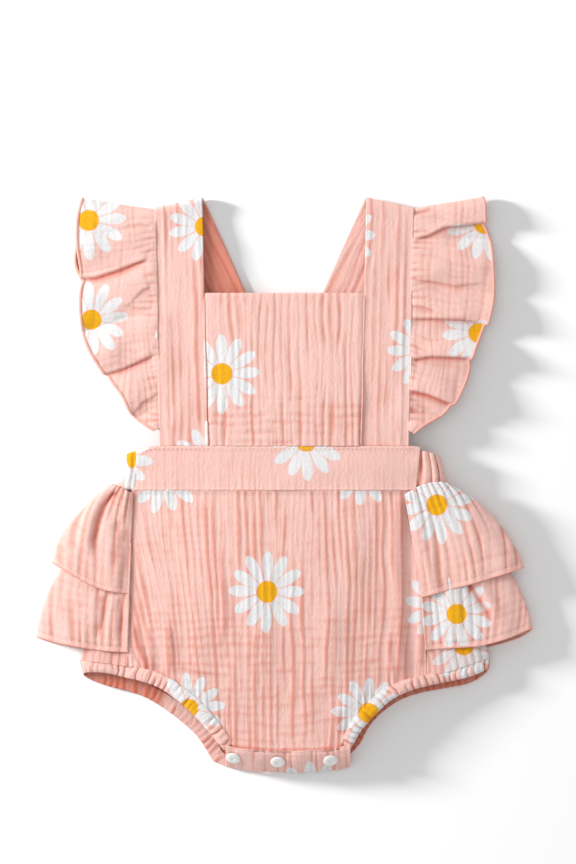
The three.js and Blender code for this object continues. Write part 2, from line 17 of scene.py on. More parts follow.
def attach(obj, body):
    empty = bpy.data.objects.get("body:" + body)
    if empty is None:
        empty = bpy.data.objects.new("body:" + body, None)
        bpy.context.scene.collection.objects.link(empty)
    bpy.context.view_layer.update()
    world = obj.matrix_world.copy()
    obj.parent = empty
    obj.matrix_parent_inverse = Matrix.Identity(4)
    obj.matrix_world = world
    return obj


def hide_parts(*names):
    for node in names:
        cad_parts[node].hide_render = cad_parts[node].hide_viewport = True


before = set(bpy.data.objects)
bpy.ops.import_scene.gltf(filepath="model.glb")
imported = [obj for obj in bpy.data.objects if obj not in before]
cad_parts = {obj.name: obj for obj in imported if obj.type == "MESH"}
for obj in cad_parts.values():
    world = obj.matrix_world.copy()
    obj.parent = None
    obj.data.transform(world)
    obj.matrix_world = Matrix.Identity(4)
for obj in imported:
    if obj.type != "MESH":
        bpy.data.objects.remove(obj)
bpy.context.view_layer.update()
MM = 0.001

# Cloth thickness
GAUZE = 0.9
CASING = 1.7  # gauze folded over elastic
BAND = 1.9
SEAM = 0.1
TUCK = 1.1  # how far a cloth goes in under its neighbour at a seam

# Heights of the layers
SHOULDER_HEIGHT = 6
FRONT_HEIGHT = 10.5
BELLY = 8
WRAP_HEIGHT = 9
LOWER_TIER_HEIGHT = 10.5
UPPER_TIER_HEIGHT = 12.2
UPPER_TIER_PUFF = 1.5
FLOOR_HEIGHT = GAUZE / 2  # middle of a cloth that rests on the table

# Waist
WAIST_TOP = 27.7
WAIST_SEAM = -4.3
BACK_WAIST_TOP = 22
BACK_WAIST_SEAM = -5.2

# Straps and bib
STRAP_WIDTH = 34.5
STRAP_FOOT = 72.45
STRAP_HEAD = 76.4
SHOULDER_Y = 202.9
FOLD_TURN = 12.75  # degrees that the shoulder fold leans
STRAP_CLOTH = 1.3
BACK_STRAP_END = 22.5
BACK_STRAP_SLANT = 0.44
BIB_TOP = 138
TURNED_EDGE = 5.6  # width of the strap's turned and stitched edge
BIB_HEM = 6

# Crotch
CROTCH_LEFT = -42
CROTCH_RIGHT = 47.5
CROTCH_MIDDLE = 3
PLACKET_DEPTH = 15.5
PLACKET_FOOT = 1.3
PLACKET_LENGTH = 22  # of its cloth, over the rounded edge
PLACKET_STITCHING = 1.6  # in from its two long edges
BACK_CROTCH_REACH = 7.9
BACK_PLACKET_INSET = 4.4
SNAP_RADIUS = 5.3
SNAPS = {"left": (-36.5, 0.5), "centre": (-4.7, 0.48), "right": (33.2, 0.5)}

# Crinkle of the gauze
RIB_PITCH = 5.6
RIB_HEIGHT = 0.75
PANE_PITCH = 6.2  # faint creases across the ribs
RUCHE_PITCH = 4.6
PLEAT_PITCH = 4.7

# Flutter ruffles: each thread from the strap seam out to the hem, from the waist up
FLUTTER_COLUMNS = ("seam_y", "hem_x", "hem_y", "lift")
LEFT_FLUTTER = [
    (40, -93, 39.5, 1),
    (50, -101, 44, 1),
    (62, -110, 51.5, 1),
    (76, -117, 65, 1),
    (92, -129, 80, 1),
    (107, -138, 93, 1),
    (122, -144, 106, 1),
    (138, -146.5, 121, 1),
    (150, -147, 138, 1),
    (162, -146, 152, 1),
    (175, -149, 172, 1),
    (186, -149, 190, 1),
    (194, -147, 201, 0.95),
    (198, -145.5, 206, 0.5),
    (192, -146, 201, 0.04),
    (180, -147, 184, 0),
    (164, -150, 157, 0),
    (146, -131, 131, 0),
    (129, -98, 110, 0),
    (121, -70, 108, 0),
]
RIGHT_FLUTTER = [
    (39, 93, 37.5, 1),
    (50, 101, 43, 1),
    (63, 113, 50, 1),
    (77, 124, 61, 1),
    (91, 132.5, 79, 1),
    (105, 135.5, 93, 1),
    (119, 141.5, 107, 1),
    (134, 147.5, 120, 1),
    (149, 151, 138, 1),
    (163, 150.5, 156, 1),
    (176, 149, 174, 1),
    (186, 144.5, 190, 1),
    (194, 144.5, 202, 0.95),
    (198, 143, 207, 0.5),
    (192, 143.5, 201, 0.04),
    (180, 142, 182, 0),
    (164, 138, 157, 0),
    (146, 121, 131, 0),
    (129, 94, 110, 0),
    (121, 70, 108, 0),
]
LEFT_LOBES = (162, 35)  # a crease at this height of the seam, and the next ones this far apart
RIGHT_LOBES = (149, 29)
LOBE_RISE = 2.3
FLUTTER_LENGTH = 62  # steps are counted on a thread of this length

# Leg openings: threads of the elastic casing from the leg seam to the opening
LEG_COLUMNS = ("seam_x", "seam_y", "edge_x", "edge_y", "lift", "waist_x")
LEFT_LEG = [
    (-39, -182.5, -46, -187.8, 1, -40),
    (-45.5, -173, -53, -179, 1, -47),
    (-56.4, -160, -63.5, -167, 1, -58),
    (-68.4, -148.8, -75, -156.5, 1, -71),
    (-85.2, -137.5, -89, -146.5, 1, -87),
    (-102, -131.8, -104, -141, 1, -99),
    (-113.5, -130, -115.5, -138.5, 1, -109.8),
    (-128, -127.6, -128, -135.5, 1, -112.5),
    (-139, -126.6, -139.5, -135, 0.9, -115),
    (-146, -126.2, -144.8, -136.5, 0.5, -116.8),
    (-140, -131.2, -139.5, -141, 0.06, -113),
    (-128, -135, -129, -145, 0, -103),
    (-112, -138.6, -113, -149, 0, -89),
    (-94.3, -145.6, -97.5, -155, 0, -75),
    (-73.5, -158.6, -79.5, -167, 0, -60),
    (-57.5, -172.6, -64.5, -180, 0, -47),
    (-48.8, -184.6, -56.8, -190.5, 0, -38),
    (-43.8, -193.5, -51, -199.5, 0, -33),
]
RIGHT_LEG = [
    (42.5, -182, 50, -186, 1, 40),
    (46, -174.5, 53.5, -179.5, 1, 45.5),
    (53, -165, 60, -171, 1, 52),
    (62, -155.4, 68.5, -162.2, 1, 62),
    (73, -146.6, 78, -154, 1, 72),
    (88, -140, 91, -148, 1, 84),
    (103, -136.5, 105, -144.3, 1, 94.3),
    (119, -133.5, 120, -141.3, 1, 102),
    (134, -128.5, 134.5, -138, 0.93, 108),
    (147.5, -124, 146.3, -133.5, 0.5, 113),
    (141.5, -129.8, 141.5, -139, 0.06, 109),
    (130, -134, 131.5, -144, 0, 101),
    (115, -136.5, 116, -147, 0, 90),
    (96, -140.5, 98, -150.5, 0, 76),
    (79, -147.5, 83, -156, 0, 62),
    (64, -158.5, 69.5, -165.5, 0, 50),
    (53.5, -170.5, 60.5, -176, 0, 41),
    (47.5, -182, 55, -186.3, 0, 36),
    (45, -191, 52.3, -194.6, 0, 32),
]
SIDE_SEAM_ROW = 6

# Elastic back of the waistband: from its end in front at the left round the back
WAIST_COLUMNS = ("top_x", "top_y", "seam_x", "seam_y", "lift")
BACK_WAIST = [
    (-106.7, 24.4, -109.1, WAIST_SEAM + 0.6, 1),
    (-110.5, 23, -114.5, WAIST_SEAM + 0.3, 0.95),
    (-114.5, 20.5, -120, -4.6, 0.5),
    (-110.5, BACK_WAIST_TOP, -115.5, BACK_WAIST_SEAM, 0.05),
    (-98, BACK_WAIST_TOP, -102, BACK_WAIST_SEAM, 0),
    (-50, BACK_WAIST_TOP, -50, BACK_WAIST_SEAM, 0),
    (0, BACK_WAIST_TOP, 0, BACK_WAIST_SEAM, 0),
    (50, BACK_WAIST_TOP, 50, BACK_WAIST_SEAM, 0),
    (96, BACK_WAIST_TOP, 99, BACK_WAIST_SEAM, 0),
    (106.5, BACK_WAIST_TOP, 112, BACK_WAIST_SEAM, 0.05),
    (111.5, 19, 117.5, -4.6, 0.5),
    (107, 22.5, 110, WAIST_SEAM + 0.3, 0.95),
    (98.7, 24.6, 95.7, WAIST_SEAM + 0.6, 1),
]

# Hip ruffles: threads from the gathered top to the hem; bow pushes the middle of a thread outwards
TIER_COLUMNS = ("top_x", "top_y", "hem_x", "hem_y", "lift", "bow")
UPPER_TIER = [
    (-108.8, -6, -111.4, -78, 1, 0),
    (-113.5, -4, -128, -75.5, 1, 2),
    (-117, -2, -143, -69.5, 1, 5),
    (-120.5, -0.5, -156, -62, 0.92, 9),
    (-123.3, -2.5, -166, -56, 0.5, 11),
    (-121, -7, -159, -61, 0.05, 9),
    (-106, -7, -138, -69, 0, 4),
    (-80, -7, -108, -75, 0, 0),
    (-40, -7, -54, -79, 0, 0),
    (0, -7, 0, -80, 0, 0),
    (40, -7, 56, -79, 0, 0),
    (78, -7, 112, -75, 0, 0),
    (102, -7, 142, -69, 0, 4),
    (117, -7, 165, -62, 0.05, 8),
    (121, -2.5, 172, -59.5, 0.5, 10),
    (114, 1.5, 158, -64, 0.92, 9),
    (105, 1.5, 138, -70, 1, 5),
    (96, -1.5, 119, -75, 1, 2),
    (86.5, -7, 99, -80.5, 1, 0),
]
LOWER_TIER = [
    (-110, -42, -112.4, -120, 1, 0),
    (-119, -41, -130, -119, 1, 2),
    (-126, -40, -147, -116.5, 1, 5),
    (-132.5, -39, -163, -113.5, 0.92, 9),
    (-137.5, -38.5, -177.5, -109.5, 0.5, 12),
    (-132, -41, -168, -113.5, 0.05, 9),
    (-112, -42, -144, -118, 0, 4),
    (-82, -43, -108, -120.5, 0, 0),
    (-40, -43, -54, -122.5, 0, 0),
    (0, -43, 0, -123, 0, 0),
    (40, -43, 56, -122.5, 0, 0),
    (82, -43, 112, -120.5, 0, 0),
    (112, -42, 146, -117, 0, 4),
    (130, -41, 170, -110, 0.05, 9),
    (136, -38.5, 177.8, -103.5, 0.5, 12),
    (130, -39, 160, -110.5, 0.92, 9),
    (120, -40, 141, -115.5, 1, 5),
    (108.5, -41, 121, -117, 1, 2),
    (95.5, -42, 101.4, -118.5, 1, 0),
]

# Daisies of the print: middle, reach of the petals, turn in degrees, how far it is squeezed sideways,
# and the heights between which no fold hides it
Daisy = namedtuple("Daisy", "x y reach turn squeeze low top", defaults=(0, 1, -999, 999))
DAISIES = {
    "bib_centre": [Daisy(-44.9, 79.8, 28.3, 1)],
    "strap_left": [Daisy(-57.3, 186, 26.5, 12), Daisy(-54.2, 16.3, 26.5, -4)],
    "strap_right": [Daisy(39.2, 179.2, 27.5), Daisy(100, 96.3, 26.8)],
    "flutter_left": [Daisy(-141, 190.4, 28, 2), Daisy(-138.9, 118.9, 26.8, 5)],
    "flutter_right": [
        Daisy(144.2, 188.3, 27.3, 13, 1, 140, 188),
        Daisy(140, 109.2, 27.3, 5, 1, 91.6, 118.2),
    ],
    "waistband_front": [Daisy(15.8, 31.5, 28.3, 3), Daisy(-121, 19, 26.8, -6)],
    "waistband_back": [Daisy(-109.7, 19.1, 27, 8, 0.47)],
    "body_front": [
        Daisy(-12.4, -76.8, 29, -1, 0.96),
        Daisy(-86.3, 7.1, 28, 15),
        Daisy(56.2, 12, 27.5, -4),
        Daisy(-68.7, -160.9, 25.6, 4),
        Daisy(60.4, -164, 26, -3),
        Daisy(113.5, -87.4, 27.3, -8),
    ],
    "leg_band_left": [Daisy(-68.7, -160.9, 25.6, 4)],
    "leg_band_right": [Daisy(60.4, -164, 26, -3), Daisy(129.3, -116, 25.5, 0, 1.05)],
    "body_back": [Daisy(129.3, -116, 25.5, 0, 1.05)],
    "hip_ruffle_upper": [Daisy(109.6, -14.5, 28, 10)],
    "hip_ruffle_lower": [Daisy(124, -93, 26.8, 14)],
    "crotch_placket_front": [Daisy(20, -228, 29.5, 4)],
}
HIDDEN_DAISIES = {
    "body_back": [
        Daisy(2, -62, 29, 8),
        Daisy(-64, -34, 29, 0),
        Daisy(70, -38, 29, 14),
        Daisy(-40, -128, 29, 5),
        Daisy(46, -124, 29, 21),
    ],
    "hip_ruffle_upper": [Daisy(-62, -48, 29, 10), Daisy(12, -40, 29, 3), Daisy(84, -44, 29, 16)],
    "hip_ruffle_lower": [Daisy(-96, -86, 29, 2), Daisy(-20, -92, 29, 12), Daisy(58, -90, 29, 7)],
    "waistband_back": [Daisy(-52, 10, 27, 6, 0.7), Daisy(44, 4, 27, 0, 0.7)],
    "strap_left": [Daisy(-34, 118, 30, 4), Daisy(-6, 54, 30, 9)],
    "strap_right": [Daisy(40, 132, 30, 4), Daisy(14, 70, 30, 9)],
    "flutter_left": [Daisy(-112, 160, 29, 4)],
    "flutter_right": [Daisy(112, 164, 29, 6)],
    "leg_band_left": [Daisy(-40, -128, 29, 5)],
    "leg_band_right": [Daisy(46, -124, 29, 21)],
}


# Sums that the shapes use

def mix(a, b, share):
    return a + (b - a) * share


def ease(start, end, value):
    """0 before start, 1 after end, smooth between them."""
    share = np.clip((value - start) / (end - start), 0, 1)
    return share * share * (3 - 2 * share)


def hump(distance, width):
    """A smooth rise of 1 at distance 0 that fades over the width."""
    return np.exp(-((distance / width) ** 2))


def hills(across, along, seed):
    """Smooth random heights from -1 to 1, one hill per unit of length."""
    across, along = np.broadcast_arrays(across, along)
    lattice = np.random.default_rng(seed).uniform(-1, 1, (97, 89))
    i = np.floor(across).astype(int)
    j = np.floor(along).astype(int)
    s = across - i
    t = along - j
    s = s * s * (3 - 2 * s)
    t = t * t * (3 - 2 * t)
    near = mix(lattice[i % 97, j % 89], lattice[(i + 1) % 97, j % 89], s)
    far = mix(lattice[i % 97, (j + 1) % 89], lattice[(i + 1) % 97, (j + 1) % 89], s)
    return mix(near, far, t)


def creases(turns, along, seed, run=40, width=0.16):
    """Valleys at whole turns, each of which comes and goes along its length; 1 where it is deepest."""
    number = np.rint(turns)
    depth = np.clip(0.6 + 0.85 * hills(number * 5.37, along / run, seed), 0.1, 1)
    aside = turns - number
    return depth * (0.45 * hump(aside, width) + 0.55 * np.cos(np.pi * aside) ** 2)


def ribs(across, along, pitch, seed, straight=0.0):
    """Crinkle of double gauze, from 0 in a valley to 1 on the soft ridges, which split and fade."""
    wander = 0.55 * hills(across / (3.1 * pitch), along / 85, seed)
    wander += 0.17 * hills(across / (1.4 * pitch), along / 24, seed + 1)
    turns = across / pitch + (1 - straight) * wander
    between = 1.93 * turns + 0.4 * hills(across / 9, along / 30, seed + 3)
    height = 1.1 - creases(turns, along, seed + 2) - 0.42 * creases(between, along, seed + 4, 20, 0.3)
    return np.clip(height + 0.16 * hills(across / 4, along / 7, seed + 5), 0, 1.15)


def panes(across, along, seed):
    """Faint creases across the ribs, as in a window pane check, from 0 in the crease to 1."""
    turns = along / PANE_PITCH + 0.35 * hills(across / 38, along / 22, seed)
    return 1 - creases(turns + 0.12 * hills(across / 5, along / 9, seed + 2), across, seed + 1, 15)


def follow(x, y, line):
    """Distance from a line of points, positive on its left, and how far along it, from 0 to 1."""
    best = np.full(np.shape(x), 1e9)
    side = np.zeros(np.shape(x))
    share = np.zeros(np.shape(x))
    points = np.array(line, float)
    lengths = np.hypot(*np.diff(points, axis=0).T)
    before = 0
    for (ax, ay), (bx, by), length in zip(points[:-1], points[1:], lengths):
        dx = (bx - ax) / length
        dy = (by - ay) / length
        t = np.clip((x - ax) * dx + (y - ay) * dy, 0, length)
        gap = np.hypot(x - ax - t * dx, y - ay - t * dy)
        nearer = gap < best
        side = np.where(nearer, np.sign(dx * (y - ay) - dy * (x - ax)), side)
        share = np.where(nearer, (before + t) / lengths.sum(), share)
        best = np.minimum(best, gap)
        before += length
    return best * side, share


def named(columns, rows):
    """A table as one array for each column."""
    return dict(zip(columns, np.array(rows, float).T))


def along_table(table, places):
    """Rows part way along a table, from place 0 to 1, smooth through all its rows."""
    last = len(table["lift"]) - 1
    index = np.minimum(last - 1, np.floor(places * last).astype(int))
    t = places * last - index
    rows = {}
    for name, column in table.items():
        a, b, c, d = (column[np.clip(index + step, 0, last)] for step in (-1, 0, 1, 2))
        bend = (2 * a - 5 * b + 4 * c - d) * t * t + (3 * b - a - 3 * c + d) * t ** 3
        rows[name] = b + 0.5 * ((c - a) * t + bend)
    return rows


FINE_ROWS = 1200


def spread(table, middle, front_step, hidden_step):
    """Rows of a table at even steps of the way from thread to thread, wider apart where hidden."""
    places = np.linspace(0, 1, FINE_ROWS + 1)
    fine = along_table(table, places)
    lengths = np.linalg.norm(np.diff(middle(fine), axis=0), axis=1)
    way = np.concatenate([[0], np.cumsum(lengths)])
    steps = np.where(fine["lift"][1:] > 0.02, front_step, hidden_step)
    needed = np.concatenate([[0], np.cumsum(lengths / steps)])
    wanted = np.linspace(0, needed[-1], int(math.ceil(needed[-1])) + 1)
    rows = along_table(table, np.interp(wanted, needed, places))
    rows["way"] = np.interp(wanted, needed, way)
    rows["lift"] = np.clip(rows["lift"], 0, 1)
    return {name: column[:, None] for name, column in rows.items()}


def thread_middles(start, end, rise):
    """A function for the middles of a table's threads, which lie higher by rise where lift is 1."""
    def middles(rows):
        x = (rows[start + "_x"] + rows[end + "_x"]) / 2
        y = (rows[start + "_y"] + rows[end + "_y"]) / 2
        return space(x, y, rise * rows["lift"])

    return middles


def down_threads(rows, start, end, share):
    """The x and y of the points at these shares of the way down the threads."""
    x = mix(rows[start + "_x"], rows[end + "_x"], share)
    y = mix(rows[start + "_y"], rows[end + "_y"], share)
    return x, y


def shares(length, step, hem=0.0, hem_step=0.8):
    """Places down a thread of that length, from 0 to 1, with a closer stretch for a hem at its end."""
    upper = np.linspace(0, 1 - hem / length, int(math.ceil((length - hem) / step)) + 1)
    if not hem:
        return upper[None, :]
    lower = np.linspace(1 - hem / length, 1, int(math.ceil(hem / hem_step)) + 1)
    return np.concatenate([upper[:-1], lower])[None, :]


def space(x, y, z):
    """Points from their coordinates."""
    return np.stack(np.broadcast_arrays(x, y, z), axis=-1).astype(float)


def outwards(points):
    """Directions square to a grid of points."""
    normal = np.cross(np.gradient(points, axis=0), np.gradient(points, axis=1))
    return normal / np.maximum(np.linalg.norm(normal, axis=-1, keepdims=True), 1e-9)


def front_height(x, y):
    """Height of the front of the garment: low at the shoulders, domed over the belly."""
    base = mix(SHOULDER_HEIGHT, FRONT_HEIGHT, ease(205, 28, y))
    sideways = np.clip(1 - ((x + 4) / 108) ** 2, 0, 1)
    rise = mix(0.28, 1, ease(40, -70, y)) * ease(170, 28, y)
    fall = mix(1, 0.4, ease(-90, -185, y))
    return base + BELLY * sideways * rise * fall


# Materials

class Flow:
    """A value that flows between shader nodes, which Python's operators work on."""

    def __init__(self, shader, socket):
        self.shader = shader
        self.socket = socket

    def math(self, operation, *others):
        return self.shader.math(operation, self, *others)

    def __add__(self, other):
        return self.math("ADD", other)

    def __sub__(self, other):
        return self.math("SUBTRACT", other)

    def __mul__(self, other):
        return self.math("MULTIPLY", other)

    def __truediv__(self, other):
        return self.math("DIVIDE", other)

    def __rsub__(self, other):
        return self.shader.math("SUBTRACT", other, self)

    def __gt__(self, other):
        return self.math("GREATER_THAN", other)

    __radd__ = __add__
    __rmul__ = __mul__

    def clamped(self):
        return self.at_least(0).at_most(1)

    def at_least(self, low):
        return self.math("MAXIMUM", low)

    def at_most(self, high):
        return self.math("MINIMUM", high)

    def eased(self, start, end):
        """0 before start, 1 after end, smooth between them."""
        share = ((self - start) / (end - start)).clamped()
        return share * share * (3 - 2 * share)


class Shader:
    """A new material and the ways to add nodes to it."""

    def __init__(self, name, color, roughness):
        self.material = bpy.data.materials.new(name)
        self.material.use_nodes = True
        self.material.diffuse_color = (*color, 1)
        self.nodes = self.material.node_tree.nodes
        self.links = self.material.node_tree.links
        self.surface = self.nodes["Principled BSDF"]
        self.give("Base Color", color)
        self.give("Roughness", roughness)

    def put(self, socket, value):
        if isinstance(value, Flow):
            self.links.new(value.socket, socket)
        elif isinstance(value, (tuple, list)) and len(value) == 3 and socket.type == "RGBA":
            socket.default_value = (*value, 1)
        else:
            socket.default_value = value

    def give(self, name, value):
        """Sets an input of the surface."""
        self.put(self.surface.inputs[name], value)

    def node(self, kind, settings=(), values=(), output=0):
        """Adds a node: settings are its properties, values go into its sockets by name or number."""
        node = self.nodes.new(kind)
        for name, value in dict(settings).items():
            setattr(node, name, value)
        for name, value in dict(values).items():
            self.put(node.inputs[name], value)
        return Flow(self, node.outputs[output])

    def math(self, operation, *values):
        return self.node("ShaderNodeMath", {"operation": operation}, enumerate(values))

    def parts(self, vector):
        """The x and y of a vector."""
        node = self.nodes.new("ShaderNodeSeparateXYZ")
        self.links.new(vector.socket, node.inputs[0])
        return Flow(self, node.outputs[0]), Flow(self, node.outputs[1])

    def map(self, name):
        return self.node("ShaderNodeUVMap", {"uv_map": name})

    def attribute(self, name):
        return self.node("ShaderNodeAttribute", {"attribute_name": name}, output="Fac")

    def vector(self, x, y, z=0.0):
        return self.node("ShaderNodeCombineXYZ", {}, {0: x, 1: y, 2: z})

    def noise(self, place, scale, detail=2.0, roughness=0.5):
        values = {"Vector": place, "Scale": scale, "Detail": detail, "Roughness": roughness}
        return self.node("ShaderNodeTexNoise", {}, values)

    def blend(self, share, a, b, way="MIX"):
        """Colour a turning into b as the share goes from 0 to 1."""
        settings = {"data_type": "RGBA", "blend_type": way}
        return self.node("ShaderNodeMix", settings, {0: share, 6: a, 7: b}, output=2)

    def bump(self, height, distance):
        values = {"Height": height, "Distance": distance, "Strength": 1.0}
        self.give("Normal", self.node("ShaderNodeBump", {}, values))


CORAL = (0.89, 0.555, 0.495)
# Painted shade in the crinkle's valleys, and the darker end of the cloth's random patches of tone
VALLEY_SHADE_AND_TONE_CORAL = (0.76, 0.33, 0.26)
# Painted shade in folds, creases, under laps and in the leg openings; the threads' strands also take
# this colour
SHADE_AND_STRAND_CORAL = (0.66, 0.16, 0.085)
PETAL_WHITE = (0.83, 0.815, 0.82)
# Painted shade on the petals in the crinkle's valleys, and the print's streaks
PETAL_SHADE_AND_STREAK_GREY = (0.52, 0.51, 0.52)
DAISY_YELLOW = (0.89, 0.45, 0.008)
DAISY_ORANGE = (0.66, 0.25, 0.005)
SNAP_WHITE = (0.84, 0.83, 0.81)
SNAP_GREY = (0.74, 0.72, 0.70)
THREAD = (0.88, 0.47, 0.40)
PALE_THREAD = (0.84, 0.52, 0.46)
TAPE_WHITE = (0.86, 0.84, 0.83)

PETALS = 12
CENTRE_REACH = 0.264  # of the petals' reach
PETAL_START = 0.28
PETAL_WIDEST = 0.72
NARROW_HALF = 0.073
WIDE_HALF = 0.15


def daisy_masks(shader):
    """Where the petals and the yellow centre of the nearest daisy are, from the map of the print."""
    u, v = shader.parts(shader.map("Print"))
    flower = shader.attribute("flower")
    reach = (u * u + v * v).math("SQRT")
    turns = v.math("ARCTAN2", u) * (PETALS / math.tau)
    petal = turns.math("ROUND")
    spot = shader.vector((petal + PETALS).math("MODULO", PETALS), flower)
    flat = {"noise_dimensions": "2D"}
    chance = shader.node("ShaderNodeTexWhiteNoise", flat, {"Vector": spot}, "Color")
    first, second = shader.parts(chance)
    angle = (turns - petal) * (math.tau / PETALS) + (second - 0.5) * 0.07
    down = reach * angle.math("COSINE") / (0.95 + 0.09 * first)
    aside = (reach * angle.math("SINE")).math("ABSOLUTE")
    wobble = shader.noise(shader.vector(u, v, flower), 7.0, 1.0) - 0.5
    stalk = NARROW_HALF + (WIDE_HALF - NARROW_HALF) * down.eased(PETAL_START - 0.06, 0.62)
    beyond = ((down - PETAL_WIDEST) / (1 - PETAL_WIDEST)).at_least(0)
    tip = (1 - beyond * beyond).at_least(0).math("SQRT") * WIDE_HALF
    half = stalk.at_most(tip) + wobble * 0.018
    petals = ((half - aside) / 0.022).clamped() * (reach > PETAL_START)
    centre = ((CENTRE_REACH + wobble * 0.03 - reach) / 0.018 + 0.5).clamped()
    return petals, centre, angle, reach


def gauze_relief(shader, across, down):
    """Height of the fine crinkle and of the open weave."""
    crinkle = shader.noise(shader.vector(across * 0.5, down * 0.27), 1.0, 3.0, 0.62)
    threads = (across * (math.tau / 0.52)).math("SINE") + (down * (math.tau / 0.56)).math("SINE")
    slubs = shader.noise(shader.vector(across * 0.35, down * 2.2), 1.0, 1.0)
    return crinkle * 0.75 + threads * 0.05 + slubs * 0.12


def gauze(name, printed):
    """Crinkled cotton double gauze: coral, with painted shade in the valleys of its crinkle and a
    stronger painted shade in folds, creases, under laps and in the leg openings.
    """
    shader = Shader(name, CORAL, 0.92)
    across, down = shader.parts(shader.map("Cloth"))
    rib = shader.attribute("rib")
    painted_shade = shader.attribute("painted_shade")
    patches = shader.noise(shader.vector(across, down), 0.035, 3.0)
    # Painted shade in the valleys of the crinkle, mixed with random patches of darker and paler tone.
    color = shader.blend((rib * 1.15 + (patches - 0.5) * 0.55).clamped(), VALLEY_SHADE_AND_TONE_CORAL, CORAL)
    if printed:
        petals, centre, angle, reach = daisy_masks(shader)
        streak = shader.noise(shader.vector(angle * 26, reach * 1.5), 1.0, 2.0)
        # Painted shade on the petals in the crinkle's valleys, mixed with the print's streaks.
        streaks_and_shade = ((1.1 - rib) * 0.42 + (streak - 0.5) * 0.3).clamped()
        speck = shader.noise(shader.vector(across, down), 1.5, 2.0)
        yellow = shader.blend(speck.eased(0.5, 0.64) * 0.75, DAISY_YELLOW, DAISY_ORANGE)
        color = shader.blend(petals, color, shader.blend(streaks_and_shade, PETAL_WHITE, PETAL_SHADE_AND_STREAK_GREY))
        color = shader.blend(centre, color, yellow)
    # Painted shade: cloth and print take on a darker coral where the cloth lies in shade, in folds,
    # creases, under laps and in the openings.
    shade = shader.blend(1.0, color, SHADE_AND_STRAND_CORAL, "MULTIPLY") if printed else SHADE_AND_STRAND_CORAL
    color = shader.blend(painted_shade, color, shade)
    shader.give("Base Color", color)
    fuzz = shader.noise(shader.vector(across, down), 0.6, 2.0)
    shader.give("Roughness", 0.84 + fuzz * 0.14)
    shader.give("Sheen Weight", 0.12)
    shader.give("Sheen Roughness", 0.55)
    shader.give("Sheen Tint", (1, 0.86, 0.83))
    shader.give("Specular IOR Level", 0.2)
    shader.bump(gauze_relief(shader, across, down), 0.0007)
    return shader.material


def thread_cotton(name, color):
    """Sewing thread, with the twist of its strands."""
    shader = Shader(name, color, 0.8)
    place = shader.node("ShaderNodeTexCoord", output="Object")
    strands = shader.noise(place, 1400.0, 1.0)
    shader.give("Base Color", shader.blend(strands * 0.3, color, SHADE_AND_STRAND_CORAL))
    shader.give("Roughness", 0.7 + strands * 0.2)
    shader.bump(strands, 0.00012)
    return shader.material


def snap_plastic():
    """Glossy white resin of the snaps, with faint swirls and rubbed spots."""
    shader = Shader("snap_white_gloss", SNAP_WHITE, 0.22)
    place = shader.node("ShaderNodeTexCoord", output="Object")
    swirl = shader.noise(place, 160.0, 3.0)
    rubbed = shader.noise(place, 900.0, 2.0)
    shader.give("Base Color", shader.blend(swirl * 0.5, SNAP_WHITE, SNAP_GREY))
    shader.give("Roughness", 0.16 + 0.16 * rubbed)
    shader.give("IOR", 1.5)
    shader.bump(rubbed, 0.00002)
    return shader.material


PRINTED = gauze("gauze_printed", True)
INNER = gauze("gauze_inner_side", False)
CORAL_THREAD = thread_cotton("coral_thread", THREAD)
LIGHT_THREAD = thread_cotton("pale_thread", PALE_THREAD)
WHITE_THREAD = thread_cotton("white_thread", TAPE_WHITE)
SNAP_GLOSS = snap_plastic()


# Meshes

class Cloth:
    """A cloth before it is a mesh."""

    def __init__(self, points, across, down, lift):
        shape = points.shape[:2]
        self.points = points
        self.across = np.broadcast_to(across, shape).astype(float)
        self.down = np.broadcast_to(down, shape).astype(float)
        self.lift = np.broadcast_to(lift, shape).astype(float)
        # the crinkle's height, 0 in a valley and 1 on a ridge; the gauze also paints shade in its
        # valleys
        self.rib = np.full(shape, 0.7)
        # painted shade, from 0 to 1: in folds, creases, under laps, in the leg openings and on the back
        # straps
        self.painted_shade = np.zeros(shape)
        self.held = np.zeros(shape)  # 1 where the cloth is held flat

    @property
    def x(self):
        return self.points[..., 0]

    @property
    def y(self):
        return self.points[..., 1]

    def turn_front_up(self):
        """Reverses the threads where that is needed to make the outer side the front one."""
        front = self.lift > 0.9 * self.lift.max()
        if outwards(self.points)[front][:, 2].mean() < 0:
            for name in ("points", "across", "down", "lift", "rib", "painted_shade", "held"):
                setattr(self, name, getattr(self, name)[::-1])

    def raise_by(self, relief):
        self.points = self.points + outwards(self.points) * (relief * (1 - self.held))[..., None]

    def settle(self, thickness):
        """Nothing goes below the table."""
        self.points[..., 2] = np.maximum(self.points[..., 2], thickness / 2)


def mesh_of(form, name):
    """The smooth mesh of a finished form, which is freed."""
    mesh = bpy.data.meshes.new(name)
    form.to_mesh(mesh)
    form.free()
    mesh.polygons.foreach_set("use_smooth", np.ones(len(mesh.polygons), bool))
    return mesh


def grid_mesh(name, points):
    """A mesh of quads through a grid of points, and each vertex's place in the grid."""
    rows, columns = points.shape[:2]
    form = bmesh.new()
    bmesh.ops.create_grid(form, x_segments=rows - 1, y_segments=columns - 1, size=0.5)
    mesh = mesh_of(form, name)
    flat = np.empty(len(mesh.vertices) * 3, np.float32)
    mesh.vertices.foreach_get("co", flat)
    flat = flat.reshape(-1, 3) + 0.5
    i = np.rint(flat[:, 0] * (rows - 1)).astype(int)
    j = np.rint(flat[:, 1] * (columns - 1)).astype(int)
    mesh.vertices.foreach_set("co", (points[i, j] * MM).astype(np.float32).ravel())
    mesh.update()
    return mesh, i, j


def point_values(mesh, name, values):
    layer = mesh.attributes.new(name, "FLOAT", "POINT")
    layer.data.foreach_set("value", np.ascontiguousarray(values, np.float32))


